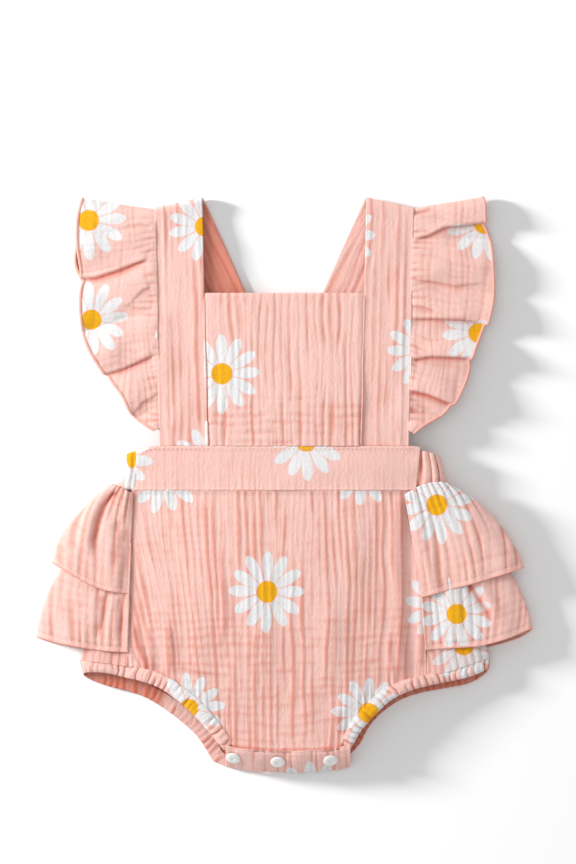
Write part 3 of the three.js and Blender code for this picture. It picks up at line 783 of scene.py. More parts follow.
def print_places(spots, lift, front, hidden):
    """Place of each face's corners in its nearest daisy, in petal reaches, and that daisy's number."""
    middle = spots.mean(axis=1, keepdims=True)
    places = np.full(spots.shape, 3.0)
    nearest = np.full(len(spots), 1.35)
    number = np.zeros(len(spots))
    for index, daisy in enumerate(front + hidden):
        turn = math.radians(daisy.turn)
        layer = (lift > 0.35) == (index < len(front))

        def local(where):
            x = (where[..., 0] - daisy.x) / daisy.reach / daisy.squeeze
            y = (where[..., 1] - daisy.y) / daisy.reach
            return np.stack([x * math.cos(turn) + y * math.sin(turn),
                             y * math.cos(turn) - x * math.sin(turn)], axis=-1)

        gap = np.hypot(*local(middle)[:, 0].T)
        seen = (middle[:, 0, 1] > daisy.low) & (middle[:, 0, 1] < daisy.top)
        nearer = layer & seen & (gap < nearest)
        nearest[nearer] = gap[nearer]
        places[nearer] = local(spots[nearer])
        number[nearer] = index + 1
    return places, number


def place_piece(name, mesh, materials, node=None):
    """Makes the object of a finished mesh, riding on the frame."""
    piece = bpy.data.objects.new(name, mesh)
    bpy.context.scene.collection.objects.link(piece)
    for material in materials:
        mesh.materials.append(material)
    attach(piece, "root")
    if node:
        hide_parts(node)
    return piece


def sew(name, cloth, thickness=GAUZE):
    """Makes the piece of a cloth that stands for the CAD node of that name."""
    cloth.settle(thickness)
    mesh, i, j = grid_mesh(name, cloth.points)
    point_values(mesh, "rib", cloth.rib[i, j])
    point_values(mesh, "painted_shade", np.clip(cloth.painted_shade[i, j], 0, 1))
    corners = np.empty(len(mesh.loops), np.int32)
    mesh.loops.foreach_get("vertex_index", corners)
    flat = np.stack([cloth.across[i, j], cloth.down[i, j]], axis=-1)[corners]
    mesh.uv_layers.new(name="Cloth").data.foreach_set("uv", flat.astype(np.float32).ravel())
    quads = corners.reshape(-1, 4)
    spots = cloth.points[i, j][quads][..., :2]
    lift = cloth.lift[i, j][quads].mean(axis=1)
    places, number = print_places(spots, lift, DAISIES.get(name, []), HIDDEN_DAISIES.get(name, []))
    mesh.uv_layers.new(name="Print").data.foreach_set("uv", places.astype(np.float32).ravel())
    layer = mesh.attributes.new("flower", "FLOAT", "FACE")
    layer.data.foreach_set("value", number.astype(np.float32))
    piece = place_piece(name + "_cloth", mesh, (PRINTED, INNER), name)
    wall = piece.modifiers.new("Thickness", "SOLIDIFY")
    wall.thickness = thickness * MM
    wall.offset = 0
    wall.material_offset = 1
    return piece


def tube(name, path, radii, material, sides=6):
    """A round cord along a path; radii is one number or one for each point."""
    path = np.asarray(path, float)
    radii = np.broadcast_to(radii, len(path))
    along = np.gradient(path, axis=0)
    along /= np.linalg.norm(along, axis=1, keepdims=True)
    aside = np.cross(along, (0, 0, 1))
    aside /= np.maximum(np.linalg.norm(aside, axis=1, keepdims=True), 1e-6)
    up = np.cross(aside, along)
    angle = np.linspace(0, math.tau, sides + 1)[None, :, None]
    ring = aside[:, None] * np.cos(angle) + up[:, None] * np.sin(angle)
    mesh = grid_mesh(name, path[:, None] + ring * radii[:, None, None])[0]
    form = bmesh.new()
    form.from_mesh(mesh)
    bmesh.ops.remove_doubles(form, verts=form.verts, dist=1e-7)
    bmesh.ops.holes_fill(form, edges=form.edges, sides=sides + 1)
    bmesh.ops.recalc_face_normals(form, faces=form.faces)
    form.to_mesh(mesh)
    form.free()
    return place_piece(name, mesh, (material,))


def resampled(path, step):
    """The same path with points at even steps."""
    path = np.asarray(path, float)
    way = np.concatenate([[0], np.cumsum(np.linalg.norm(np.diff(path, axis=0), axis=1))])
    wanted = np.linspace(0, way[-1], max(2, int(round(way[-1] / step)) + 1))
    return np.stack([np.interp(wanted, way, path[:, k]) for k in range(3)], axis=-1)


def merrowed_hem(name, path, radius, material, wrap=1.25):
    """A narrow rolled hem, wrapped in overlock thread."""
    points = resampled(path, wrap / 3)
    points[:, 2] = np.maximum(points[:, 2], radius * 1.3)
    wraps = np.arange(len(points)) * (math.tau / 3)
    uneven = 0.12 * hills(np.arange(len(points)) / 19, 0.5, 5)
    return tube(name, points, radius * (1 + 0.17 * np.sin(wraps) + uneven), material)


def stitches(name, paths, length, gap, width, material):
    """Rows of short stitches lying along the paths."""
    form = bmesh.new()
    for path in paths:
        spots = resampled(path, length + gap)
        for start, end in zip(spots[:-1], spots[1:]):
            direction = Vector(end - start)
            turn = direction.to_track_quat("X", "Z").to_matrix().to_4x4()
            size = Matrix.Diagonal((length, width, width * 0.75, 1))
            place = Matrix.Translation(Vector((start + end) / 2)) @ turn @ size
            bmesh.ops.create_icosphere(form, subdivisions=1, radius=0.5, matrix=place)
    bmesh.ops.transform(form, matrix=Matrix.Scale(MM, 4), verts=form.verts)
    return place_piece(name, mesh_of(form, name), (material,))


def seam_dip(distance, depth=0.45, width=1.3):
    """Cloth pulled down beside a seam."""
    return -depth * hump(distance, width)


# Waistband

# The ends of the elastic back go in under the front
LEFT_WAIST_TIP = (-104.8, 24.3, -107.2, WAIST_SEAM + 0.7, 0.9)
RIGHT_WAIST_TIP = (96.8, 24.5, 93.8, WAIST_SEAM + 0.7, 0.9)


def waist_top(x):
    return WAIST_TOP - 3.3 * ease(93, 106, np.abs(x))


def make_waistband_front():
    u = np.linspace(0, 1, 216)[:, None]
    v = np.linspace(0, 1, 34)[None, :]
    x = mix(mix(-106.1, -108.5, v), mix(98.1, 95.1, v), u)
    y = mix(waist_top(x), WAIST_SEAM + SEAM, v)
    cloth = Cloth(space(x, y, front_height(x, y) + 0.3), x, -y, 1)
    cloth.rib = 0.5 + 0.5 * ribs(x, y, 0.55 * RIB_PITCH, 31, 0.5)
    ends = hump(x + 107, 6) + hump(x - 96.5, 6)
    gathers = ribs(x, y * 0.4, 0.7 * RIB_PITCH, 33) * ease(12, -4, y) * 0.35
    relief = 0.3 * cloth.rib + gathers + 0.4 * hills(x / 22, y / 15, 34)
    relief += seam_dip(y - waist_top(x) + 1.8, 0.35, 0.9) + seam_dip(y - WAIST_SEAM, 0.6, 1.2)
    relief += 0.5 * ends * np.sin(y / 3.5)
    cloth.raise_by(relief)
    cloth.turn_front_up()
    piece = sew("waistband_front", cloth, BAND)
    line_x = np.linspace(-101, 92, 120)
    line_y = waist_top(line_x) - 1.9
    path = space(line_x, line_y, front_height(line_x, line_y) + 0.3 + BAND / 2 + 0.1)
    stitches("waistband_topstitch", [path], 2.1, 1.1, 0.55, CORAL_THREAD)
    return piece


def make_waistband_back():
    table = named(WAIST_COLUMNS, [LEFT_WAIST_TIP] + BACK_WAIST + [RIGHT_WAIST_TIP])

    def height(lift):
        return mix(BAND / 2 + 0.5, FRONT_HEIGHT, np.clip(lift, 0, 1))

    rows = spread(table, lambda r: space(r["top_x"], r["top_y"], height(r["lift"])), 0.8, 1.3)
    v = np.linspace(0, 1, 18)[None, :]
    x, y = down_threads(rows, "top", "seam", v)
    cloth = Cloth(space(x, y, height(rows["lift"])), rows["way"], -y, rows["lift"])
    cloth.turn_front_up()
    cloth.rib = ribs(cloth.across + 0.6 * np.sin(cloth.y / 6), cloth.y * 0.5, 4.8, 41, 0.4)
    total = cloth.across.max()
    calm = ease(0, 2.5, cloth.across) * ease(total, total - 2.5, cloth.across)
    channels = 0.18 * np.abs(np.sin(math.pi * 4 * v))
    cloth.raise_by(calm * (1.5 * cloth.rib - 0.9) + channels - 0.1)
    # painted shade in the valleys of the crinkle, away from the ends
    cloth.painted_shade = 0.45 * calm * np.clip(0.45 - cloth.rib, 0, 1) * 2
    return sew("waistband_back", cloth, CASING)


# Straps and bib

def strap_edge(y, half):
    return mix(STRAP_FOOT, STRAP_HEAD, (y - WAIST_TOP) / (SHOULDER_Y - WAIST_TOP)) + half


CROSSING_HEIGHT = 1.8  # of the back strap that crosses over the other one
SHOULDER_BEND = (SHOULDER_HEIGHT - STRAP_CLOTH / 2) / 2  # radius of the fold over the shoulder
HALF_TURN = math.pi * SHOULDER_BEND  # how much of the strap that fold takes


def fold_over(flat, line, beyond, side, crossing):
    """Where points of a flat strap lie once it is folded back, and how far past the fold they are."""
    past = (flat - line) @ beyond
    angle = np.clip(past / SHOULDER_BEND, 0, math.pi)
    reach = SHOULDER_BEND * np.sin(angle) - np.maximum(0, past - HALF_TURN)
    folded = flat + np.where(past > 0, reach - past, 0)[..., None] * beyond
    rest = STRAP_CLOTH / 2 + SHOULDER_BEND * (1 + np.cos(angle))
    level = STRAP_CLOTH / 2 + crossing * ease(165, 125, folded[..., 1])
    behind = np.where(past < HALF_TURN, rest, level)
    z = np.where(past <= 0, front_height(side * 92, flat[..., 1]), behind)
    return space(folded[..., 0], folded[..., 1], z), past


def dress_strap(cloth, side, past):
    """Ribs, turned edge and seams of a strap, and the shade that its back part lies in."""
    a, q = cloth.across, cloth.down
    edge = STRAP_WIDTH / 2 - side * a
    band = ease(TURNED_EDGE + 0.6, TURNED_EDGE - 0.8, edge)
    cloth.rib = ribs(a, q, RIB_PITCH, 51 + side)
    cloth.rib = mix(cloth.rib, 0.8 + 0.2 * ribs(q * 0.4, a, 5, 53), 0.75 * band)
    front = (past < 0) * 1.0
    relief = RIB_HEIGHT * 0.8 * cloth.rib * mix(1, 0.5, band) + 0.5 * band * front
    relief += seam_dip(edge - TURNED_EDGE - 0.7, 0.4, 0.9) + seam_dip(edge, 0.35, 0.8)
    relief += seam_dip(STRAP_WIDTH - edge, 0.3, 1.2)
    relief += front * 0.8 * hills(a / 15, q / 28, 57 + side) * ease(0, 30, q)
    relief -= 0.3 * ease(4, 0, q) * (1 - cloth.rib)
    cloth.raise_by(relief * mix(0.25, 1, ease(0.5, -9, past) + (past > HALF_TURN)))
    # painted shade on the back part: strong on the left strap, which lies in the front strap's shadow,
    # faint on the right
    shade = 0.72 if side < 0 else 0.12
    cloth.painted_shade = shade * ease(HALF_TURN * 0.9, HALF_TURN * 1.4, past)


def make_strap(name, side, crossing):
    foot = np.array((side * STRAP_FOOT, WAIST_TOP - 0.2))
    head = np.array((side * STRAP_HEAD, SHOULDER_Y))
    up = (head - foot) / np.linalg.norm(head - foot)
    sideways = np.array((up[1], -up[0]))
    turn = math.radians(-side * FOLD_TURN)
    beyond = np.array((-math.sin(turn), math.cos(turn)))
    line = head - beyond * SHOULDER_BEND

    def place(a, q):
        flat = foot + a[..., None] * sideways + q[..., None] * up
        return fold_over(flat, line, beyond, side, crossing)

    v = np.linspace(-0.5, 0.5, 37)[None, :] * STRAP_WIDTH
    start = (foot - line) @ beyond + v * (sideways @ beyond)
    slope = up @ beyond
    fold_start = -start / slope
    fold_end = fold_start + HALF_TURN / slope
    probe = 250.0  # a length that ends behind, well past the fold
    samples = place(np.zeros(2), np.array((probe, probe + 50)))[0]
    drop = (samples[0, 1] - samples[1, 1]) / 50
    reach_y = place(v, np.full(v.shape, probe))[0][..., 1]
    length = probe + (reach_y - BACK_STRAP_END) / drop
    cut = -v * sideways[1] / up[1]
    q = np.concatenate([
        mix(cut, fold_start, np.linspace(0, 1, 112)[:, None]),
        mix(fold_start, fold_end, np.linspace(0, 1, 13)[1:, None]),
        mix(fold_end, length, np.linspace(0, 1, 100)[1:, None]),
    ])
    a = np.broadcast_to(v, q.shape)
    points, past = place(a, q)
    cloth = Cloth(points, a, q, np.where(past < HALF_TURN / 2, 1, 0))
    dress_strap(cloth, side, past)
    cloth.turn_front_up()
    return sew(name, cloth, STRAP_CLOTH)


def make_bib():
    u = np.linspace(0, 1, 128)[:, None]
    v = np.linspace(0, 1, 82)[None, :]
    y = mix(WAIST_TOP - 0.2, BIB_TOP, v)
    half = strap_edge(y, -STRAP_WIDTH / 2) + TUCK
    x = mix(-half, half, u)
    cloth = Cloth(space(x, y, front_height(x, y)), x, y, 1)
    low = ease(80, 45, y)
    squares = panes(x, y, 63) * low + 1 - low
    cloth.rib = np.clip(ribs(x, y, RIB_PITCH, 61) - 0.45 * (1 - squares), 0, 1.15)
    hem = ease(-0.5, 0.5, y - BIB_TOP + BIB_HEM)
    relief = RIB_HEIGHT * cloth.rib * mix(1, 0.7, hem) + 0.3 * squares * low
    relief += 0.25 * hem - 1.3 * ease(3.4, 0.9, half - np.abs(x)) + 0.5 * hills(x / 26, y / 40, 64)
    relief -= 0.4 * ease(BIB_TOP - 1.2, BIB_TOP, y)
    cloth.raise_by(relief)
    cloth.turn_front_up()
    return sew("bib_centre", cloth)


def seam_cord(name, side, half, start, end, radius, material):
    """Turned edge or tape that shows in a seam of a strap, thinner towards its ends."""
    y = np.linspace(start, end, int(end - start) + 12)
    x = side * (strap_edge(y, half) + 0.15) + 0.15 * np.sin(y / 9 + side)
    ends = np.minimum(1, np.minimum(y - start, end - y) / 3 + 0.15)
    uneven = 1 + 0.3 * hills(y / 6, half, 71)
    path = space(x, y, front_height(side * np.abs(x), y) + 0.4)
    tube(name, path, radius * ends * uneven, material)


def make_seam_cords():
    """Pale turned edges between bib and straps, and the bits of white tape that show in the seams."""
    for word, side in (("left", -1), ("right", 1)):
        seam_cord(f"bib_seam_{word}", side, -STRAP_WIDTH / 2, WAIST_TOP, 136.5, 0.5, LIGHT_THREAD)
    seam_cord("seam_tape_bib", -1, -STRAP_WIDTH / 2, WAIST_TOP, 47, 0.95, WHITE_THREAD)
    seam_cord("seam_tape_left", -1, STRAP_WIDTH / 2, 104, 111, 0.7, WHITE_THREAD)
    seam_cord("seam_tape_right", 1, STRAP_WIDTH / 2, 76, 94, 0.5, WHITE_THREAD)


# Flutter ruffles

# Folds: points of the line where the upper part laps over the lower one, from the seam to the hem,
# how far it stands out and how dark the shade painted below it is
LEFT_FLUTTER_FOLDS = [
    ([(-97, 163.2), (-108.7, 159), (-121, 154), (-136, 149.2), (-149, 148.5)], 1.5, 0.8),
    ([(-93.5, 92.7), (-103.8, 89), (-116, 83.4), (-131, 79)], 1.3, 0.6),
    ([(-96, 143), (-102, 140), (-106, 136)], 0.7, 0.3),
    ([(-95, 127), (-104, 127), (-112, 129)], 0.5, 0.2),
    ([(-92, 64), (-101, 60), (-108, 52)], 0.6, 0.25),
    ([(-96, 186), (-104, 188), (-113, 186)], 0.5, 0.2),
]
RIGHT_FLUTTER_FOLDS = [
    ([(93, 176.5), (103.9, 179.5), (116, 185.5), (137, 188), (147, 189.5)], 1.4, 0.55),
    ([(92, 148), (106, 146.4), (123.7, 143.3), (135, 144.6)], 0.8, 0.3),
    ([(91.5, 129.2), (100, 128), (109, 125.2)], 0.8, 0.4),
    ([(90.2, 119.2), (108.8, 119.6), (128.6, 119), (144, 116.2)], 1.4, 0.5),
    ([(90.2, 89.4), (106.3, 92.4), (132.4, 91.3), (137, 90)], 1.4, 0.65),
    ([(89.6, 68.4), (103.9, 64.8), (120, 58.4), (124, 57)], 1.4, 0.8),
    ([(89, 56), (96, 54)], 0.7, 0.5),
    ([(93, 196), (101, 197.5), (106, 199.5)], 0.6, 0.35),
]
NOTCH = 2.2  # how far the hem is drawn in below a fold


def lap_folds(cloth, folds, side, shown):
    """Relief of folds that lap over; paints shade on the cloth below them and draws in the hem there.
    """
    relief = 0
    push = 0
    for line, rise, dark in folds:
        distance, along = follow(cloth.x, cloth.y, line)
        above = distance * side
        below = np.minimum(above, 0)
        strength = ease(0, 0.12, along) * shown
        lobe = np.exp(-np.maximum(above, 0) / 6.5) * ease(-0.6, 1.4, above)
        hollow = np.exp(below / 5) * ease(1.4, -0.8, above)
        relief = relief + rise * strength * (lobe - 0.8 * hollow)
        reach = 1 + (1.5 + 1.5 * dark) * np.sin(math.pi * np.clip(along, 0, 1)) ** 0.7
        under = ease(1.3, -0.2, above) * np.exp(-((below / reach) ** 2)) * ease(1, 0.8, along)
        cloth.painted_shade = np.maximum(cloth.painted_shade, strength * dark * under)
        outer = ease(0.55, 1, along) * min(1, max(0, rise - 1) * 3) * shown
        push = push + outer * (0.35 * lobe - hollow)
    cloth.points[..., 0] += side * NOTCH * push
    return relief


def make_flutter(name, side, table, lobes, folds, seed):
    rows = named(FLUTTER_COLUMNS, table)
    fall = np.maximum(0, 198 - rows["seam_y"])
    front = strap_edge(rows["seam_y"], STRAP_WIDTH / 2) - TUCK
    behind = strap_edge(198, STRAP_WIDTH / 2) + 1 - fall * BACK_STRAP_SLANT
    rows["seam_x"] = side * np.where(rows["lift"] > 0.4, front, behind)
    rows = spread(rows, thread_middles("seam", "hem", 8), 0.9, 1.8)
    share = shares(FLUTTER_LENGTH, 1.15)
    x, y = down_threads(rows, "seam", "hem", share)
    lift = rows["lift"]
    at, apart = lobes
    lobe = np.abs(np.sin(np.pi * (rows["seam_y"] - at) / apart))
    puff = LOBE_RISE * (1.6 * lobe - 1) * np.minimum(1, 1.6 * share) - 1.2 * share ** 2
    height = mix(FLOOR_HEIGHT, front_height(92, rows["seam_y"]), lift) + lift ** 2 * puff
    long = np.hypot(rows["hem_x"] - rows["seam_x"], rows["hem_y"] - rows["seam_y"])
    cloth = Cloth(space(x, y, height), rows["way"], long * share, lift)
    cloth.turn_front_up()
    x, y = cloth.x, cloth.y
    down, lift = cloth.down, cloth.lift
    turns = (y + 0.12 * down + 2.6 * hills(y / 13, down / 16, seed)) / PLEAT_PITCH
    reach = 16 + 12 * hills(np.rint(turns) * 3.71, 0.5, seed + 1)  # how far out each gather runs
    gather = ease(reach, 1, down)
    pleats = creases(turns, down, seed + 2, 18, 0.2)
    across = down + 3.5 * hills(y / 22, down / 14, seed + 4)
    soft = 0.3 + 0.7 * ribs(across, y, 0.86 * RIB_PITCH, seed + 5)
    calm = soft - 0.35 * pleats * ease(0, 14, down)
    # Only the colour reads this: painted shade in the crinkle's valleys and in the gathered pleats.
    cloth.rib = np.clip(0.3 + 0.7 * calm - 0.7 * gather * pleats, 0, 1.15)
    pinch = 1.2 * gather * pleats * ease(0.5, 4, down)
    relief = RIB_HEIGHT * (0.6 * calm * (1 - 0.5 * gather) - pinch)
    relief += 0.9 * hills(x / 14, y / 12, seed + 7) - 0.4 * ease(3.2, 0.8, down)
    relief += lap_folds(cloth, folds, side, lift > 0.6)
    cloth.raise_by(relief * mix(0.35, 1, lift))
    piece = sew(name, cloth)
    hem = cloth.points[:, int(np.argmax(cloth.down[0]))]
    trim = merrowed_hem(name + "_hem", hem, 1.2, CORAL_THREAD, 1.5)
    return piece, trim


# Body

def crotch_top(x):
    return -191.3 + 4.5 * np.abs((x - CROTCH_MIDDLE) / 45) ** 3


def body_threads(legs, crotch_x, waist_share, reach, lift):
    """Table of a body panel's threads: from the waist to the leg seams and the crotch."""
    left, right = legs
    gap = -TUCK / np.hypot(left["seam_x"] - left["edge_x"], left["seam_y"] - left["edge_y"])
    other = -TUCK / np.hypot(right["seam_x"] - right["edge_x"], right["seam_y"] - right["edge_y"])
    crotch_x = np.array(crotch_x, float)
    return {
        "waist_x": np.concatenate([left["waist_x"], crotch_x * waist_share, right["waist_x"]]),
        "end_x": np.concatenate([
            mix(left["seam_x"], left["edge_x"], -gap),
            crotch_x,
            mix(right["seam_x"], right["edge_x"], -other),
        ]),
        "end_y": np.concatenate([
            mix(left["seam_y"], left["edge_y"], -gap),
            crotch_top(crotch_x) - reach,
            mix(right["seam_y"], right["edge_y"], -other),
        ]),
        "lift": np.concatenate([left["lift"], np.full(len(crotch_x), lift), right["lift"]]),
    }


def leg_rows(table, first, last, reverse):
    rows = {name: column[first:last] for name, column in named(LEG_COLUMNS, table).items()}
    return {name: column[::-1] for name, column in rows.items()} if reverse else rows


VALLEY = [(83, -6), (83.5, -60), (84.5, -110), (86, -148)]
# Creases: points along it, depth, width and how dark the shade painted in it is
BODY_CREASES = [
    ([(-110, -94), (-106, -113), (-100, -129), (-99, -137)], 1.5, 2.3, 0.6),
    ([(-101, -98), (-96, -113), (-94.5, -136)], 1.1, 1.7, 0.35),
    ([(-84, -98), (-82.5, -114), (-82, -136)], 1.3, 2.6, 0.32),
    ([(-86, -138), (-80.5, -133), (-73.5, -132), (-59.5, -135), (-36, -137)], 0.6, 1.1, 0.3),
    ([(-110, -30), (-104, -62), (-101, -92)], 0.5, 2.2, 0.1),
    ([(-44, -62), (-42, -92), (-47, -118)], 0.7, 3.0, 0.14),
    ([(97, -60), (98, -100), (97, -134)], 0.8, 1.8, 0.25),
    ([(75, -104), (76, -124), (80, -146)], 0.9, 2.4, 0.25),
    ([(66, -160), (60, -172), (50, -186)], 0.6, 2.4, 0.2),
    ([(40, -158), (38, -170), (41, -180)], 0.7, 3.4, 0.3),
]


def make_body_front():
    left = leg_rows(LEFT_LEG, 0, SIDE_SEAM_ROW + 1, True)
    right = leg_rows(RIGHT_LEG, 0, SIDE_SEAM_ROW + 1, False)
    table = body_threads((left, right), (-34.5, -20, CROTCH_MIDDLE, 26, 39), 0.93, TUCK, 1)
    rows = spread(table, lambda r: space(r["end_x"], r["end_y"] * 0.45, 0), 0.86, 0.86)
    share = shares(150, 1.5)
    x = mix(rows["waist_x"], rows["end_x"], share)
    y = mix(WAIST_SEAM + TUCK, rows["end_y"], share)
    height = front_height(x, y)
    slant = x - 24 * ease(-20, -112, x) * ease(-4, -140, y) + 5 * ease(20, 100, x) * ease(-60, -170, y)
    cloth = Cloth(space(x, y, height), slant, y, 1)
    low = ease(-80, -108, y)
    squares = mix(1, panes(x, y + 4 * hills(x / 40, 0, 83), 84), mix(0.35, 1, low))
    strip = ease(5.5, 8, x - 81) * ease(24, 20, x - 81)  # the smoother strip beside the valley
    cloth.rib = mix(ribs(slant, y, RIB_PITCH, 81), 0.95, 0.5 * strip) - 0.5 * (1 - squares)
    cloth.rib = np.clip(cloth.rib, 0, 1.15)
    gathers = ribs(slant, y * 0.3, 0.66 * RIB_PITCH, 85, 0.3) * ease(-30, -6, y)
    relief = 0.85 * RIB_HEIGHT * cloth.rib + 0.3 * gathers
    relief += 0.7 * hills(slant / 17, y / 55, 86) + 0.45 * hills(x / 30, y / 26, 87)
    distance, along = follow(x, y, VALLEY)
    fade = ease(0, 0.1, along) * ease(1, 0.86, along)
    relief += fade * (1.5 * hump(distance - 7, 4.6) - 1.6 * hump(distance + 1.5, 5))
    # painted shade along the valley
    cloth.painted_shade = 0.22 * fade * hump(distance + 1.5, 5)
    for line, depth, width, dark in BODY_CREASES:
        distance, along = follow(x, y, line)
        fade = ease(0, 0.3, along) * ease(1, 0.85, along)
        relief -= depth * fade * hump(distance, width)
        # painted shade along each crease
        cloth.painted_shade = np.maximum(cloth.painted_shade, dark * fade * hump(distance, 0.8 * width))
    ruching = ribs(x * 1.05, y * 0.3, RUCHE_PITCH, 88, 0.3) * ease(0.88, 0.985, share)
    ruching = ruching * ease(24, 46, np.abs(x - 3))
    relief += 0.8 * ruching - 1.1 * ease(-2.6, 0.2, y - WAIST_SEAM)
    lap = y - crotch_top(x) - 0.6 * np.sin(x / 5)
    relief -= 1.1 * ease(2.2, 0, lap)
    # painted shade in a line above the placket, where it laps over the body
    cloth.painted_shade = np.maximum(cloth.painted_shade, 0.55 * hump(lap - 0.6, 1.3) * (np.abs(x - 2) < 44))
    cloth.raise_by(relief)
    cloth.turn_front_up()
    return sew("body_front", cloth)


# Middle of the back body: its height at these places down it, and then at even steps to its foot
BACK_ROWS_Y = [-25, -42, -85, -122]
BACK_ROWS_Z = [2.1, 3.6, 3.6, 3.6]
BACK_FOOT_HEIGHTS = [2.2, 1.3, 0.7]


def make_body_back():
    left = leg_rows(LEFT_LEG, SIDE_SEAM_ROW, None, False)
    right = leg_rows(RIGHT_LEG, SIDE_SEAM_ROW, None, True)
    crotch = (-41.5, -36, -18, CROTCH_MIDDLE, 24, 38, 43)
    table = body_threads((left, right), crotch, 0.7, BACK_CROTCH_REACH, 0)
    rows = spread(table, lambda r: space(r["end_x"], r["end_y"], 8 * r["lift"]), 1.0, 2.1)
    lift = rows["lift"]
    waist = mix(BACK_WAIST_SEAM, WAIST_SEAM - 1, lift)
    key_y = [waist + 0 * lift] + [value + 0 * lift for value in BACK_ROWS_Y]
    key_z = [2.1] + BACK_ROWS_Z + BACK_FOOT_HEIGHTS
    steps = len(BACK_FOOT_HEIGHTS)
    key_y += [mix(BACK_ROWS_Y[-1], rows["end_y"], (k + 1) / steps) for k in range(steps)]
    key_y = np.concatenate(key_y, axis=1)
    place = np.linspace(0, len(key_z) - 1, 72)
    index = np.minimum(len(key_z) - 2, np.floor(place).astype(int))
    part = place - index
    y = mix(key_y[:, index], key_y[:, index + 1], part)
    floor = np.interp(place, np.arange(len(key_z)), key_z)[None, :]
    x = mix(rows["waist_x"], rows["end_x"], (y - waist) / (rows["end_y"] - waist))
    cloth = Cloth(space(x, y, mix(floor, WRAP_HEIGHT, lift)), rows["way"], -y, lift)
    cloth.turn_front_up()
    x, y, lift = cloth.x, cloth.y, cloth.lift
    cloth.rib = ribs(mix(x, cloth.across, ease(0, 0.3, lift)), y, RIB_PITCH, 91)
    gathers = ribs(x, y * 0.3, 4.2, 92, 0.3) * ease(-38, -8, y)
    ruching = ribs(cloth.across, y * 0.3, RUCHE_PITCH, 93, 0.3) * ease(-112, -124, y) * (lift > 0.1)
    relief = RIB_HEIGHT * cloth.rib + 0.3 * gathers + 0.7 * ruching
    cloth.raise_by(relief * mix(0.55, 1, lift) - 0.2)
    # painted shade on the back, seen through the leg openings, and a little on the parts that wrap
    # round to the front
    cloth.painted_shade = 0.85 * ease(0.4, 0, lift) * ease(-80, -110, y) + 0.12 * (lift > 0.4)
    return sew("body_back", cloth)


# Leg casings and crotch

# The front ends of the casings go in under the placket
LEFT_CASING_TIP = (-36.6, -186.3, -43.4, -191, 0.8, -38)
RIGHT_CASING_TIP = (40.2, -187, 47.6, -190, 0.8, 38)
# and the back ends go in under the back placket
LEFT_BACK_TIP = (-36, -198.5, -41.5, -203.6, 0, -28)
RIGHT_BACK_TIP = (42, -195, 46.4, -196, 0, 28)
LEFT_CASING = [LEFT_CASING_TIP] + LEFT_LEG + [LEFT_BACK_TIP]
RIGHT_CASING = [RIGHT_CASING_TIP] + RIGHT_LEG[:-1] + [(44.5, -190, 49.6, -192.6, 0, 32), RIGHT_BACK_TIP]


def make_leg_band(name, table, seed):
    rows = spread(named(LEG_COLUMNS, table), thread_middles("seam", "edge", 8), 0.8, 0.9)
    share = np.linspace(0, 1, 13)[None, :]
    x, y = down_threads(rows, "seam", "edge", share)
    outside = ease(104, 118, np.abs(rows["seam_x"]))
    front = front_height(rows["seam_x"], rows["seam_y"]) - (FRONT_HEIGHT - WRAP_HEIGHT) * outside
    height = mix(CASING / 2 + 0.4, front, rows["lift"])
    cloth = Cloth(space(x, y, height), rows["way"], 10 * share, rows["lift"])
    cloth.turn_front_up()
    down = cloth.down
    turns = cloth.across / RUCHE_PITCH + 0.3 * hills(cloth.across / 11, down / 6, seed)
    pleats = creases(turns, down, seed + 1, 9, 0.2)
    finer = 1.9 * turns + 0.4 * hills(cloth.across / 7, down / 5, seed + 2)
    between = creases(finer, down, seed + 3, 7, 0.28)
    cloth.rib = np.clip(1 - 0.95 * pleats - 0.35 * between, 0, 1)
    front = cloth.lift > 0.5
    strong = np.where(front, mix(0.3, 1, ease(0, 4.5, down)), 0.6)
    roll = -0.55 * front * ease(3.2, 0, down) - 1.3 * ease(6.2, 10, down) ** 2 * cloth.lift
    cloth.raise_by((1.4 * cloth.rib - 0.9) * strong + roll)
    # painted shade: the back casing in the right opening and at the outer end of the left one, and the
    # ruching's valleys
    opening_shade = np.where(front, 0, 0.75 * (ease(-80, -94, cloth.x) + (cloth.x > 0)))
    cloth.painted_shade = np.clip(opening_shade + 0.7 * strong * (0.62 - cloth.rib), 0, 1)
    return sew(name, cloth, CASING)


def placket_point(x, share):
    top = crotch_top(x)
    head = front_height(x, top)
    z = PLACKET_FOOT + (head - PLACKET_FOOT) * np.cos(share * np.pi / 2)
    return space(x, top - PLACKET_DEPTH * share, z)


def make_placket(name, ends, reach, inset, thickness, seed):
    x = mix(*ends, np.linspace(0, 1, 112)[:, None])
    share = mix(*reach, np.linspace(0, 1, 30)[None, :])
    cloth = Cloth(placket_point(x, share), x, share * PLACKET_LENGTH, 1)
    cloth.turn_front_up()
    cloth.points = cloth.points - outwards(cloth.points) * inset
    cloth.points[..., 1] += 0.9 * hills(cloth.x / 8, 0.5, seed + 4) * ease(7, 0, cloth.down)
    x = cloth.x
    down = cloth.down
    cloth.rib = ribs(x, down, 4.6, seed)
    relief = 0.5 * cloth.rib + 0.3 * panes(x, down, seed + 2) + 1.1 * hills(x / 10, down / 16, seed + 3)
    for line in (PLACKET_STITCHING, PLACKET_LENGTH - PLACKET_STITCHING):
        relief += seam_dip(down - line, 0.3, 0.9)
    for spot, share in SNAPS.values():
        gap = np.hypot(x - spot, down - share * PLACKET_LENGTH)
        relief -= 0.8 * hump(gap, SNAP_RADIUS * 1.15)
    cloth.raise_by(relief * (0.8 if inset == 0 else 0.4))
    return sew(name, cloth, thickness)


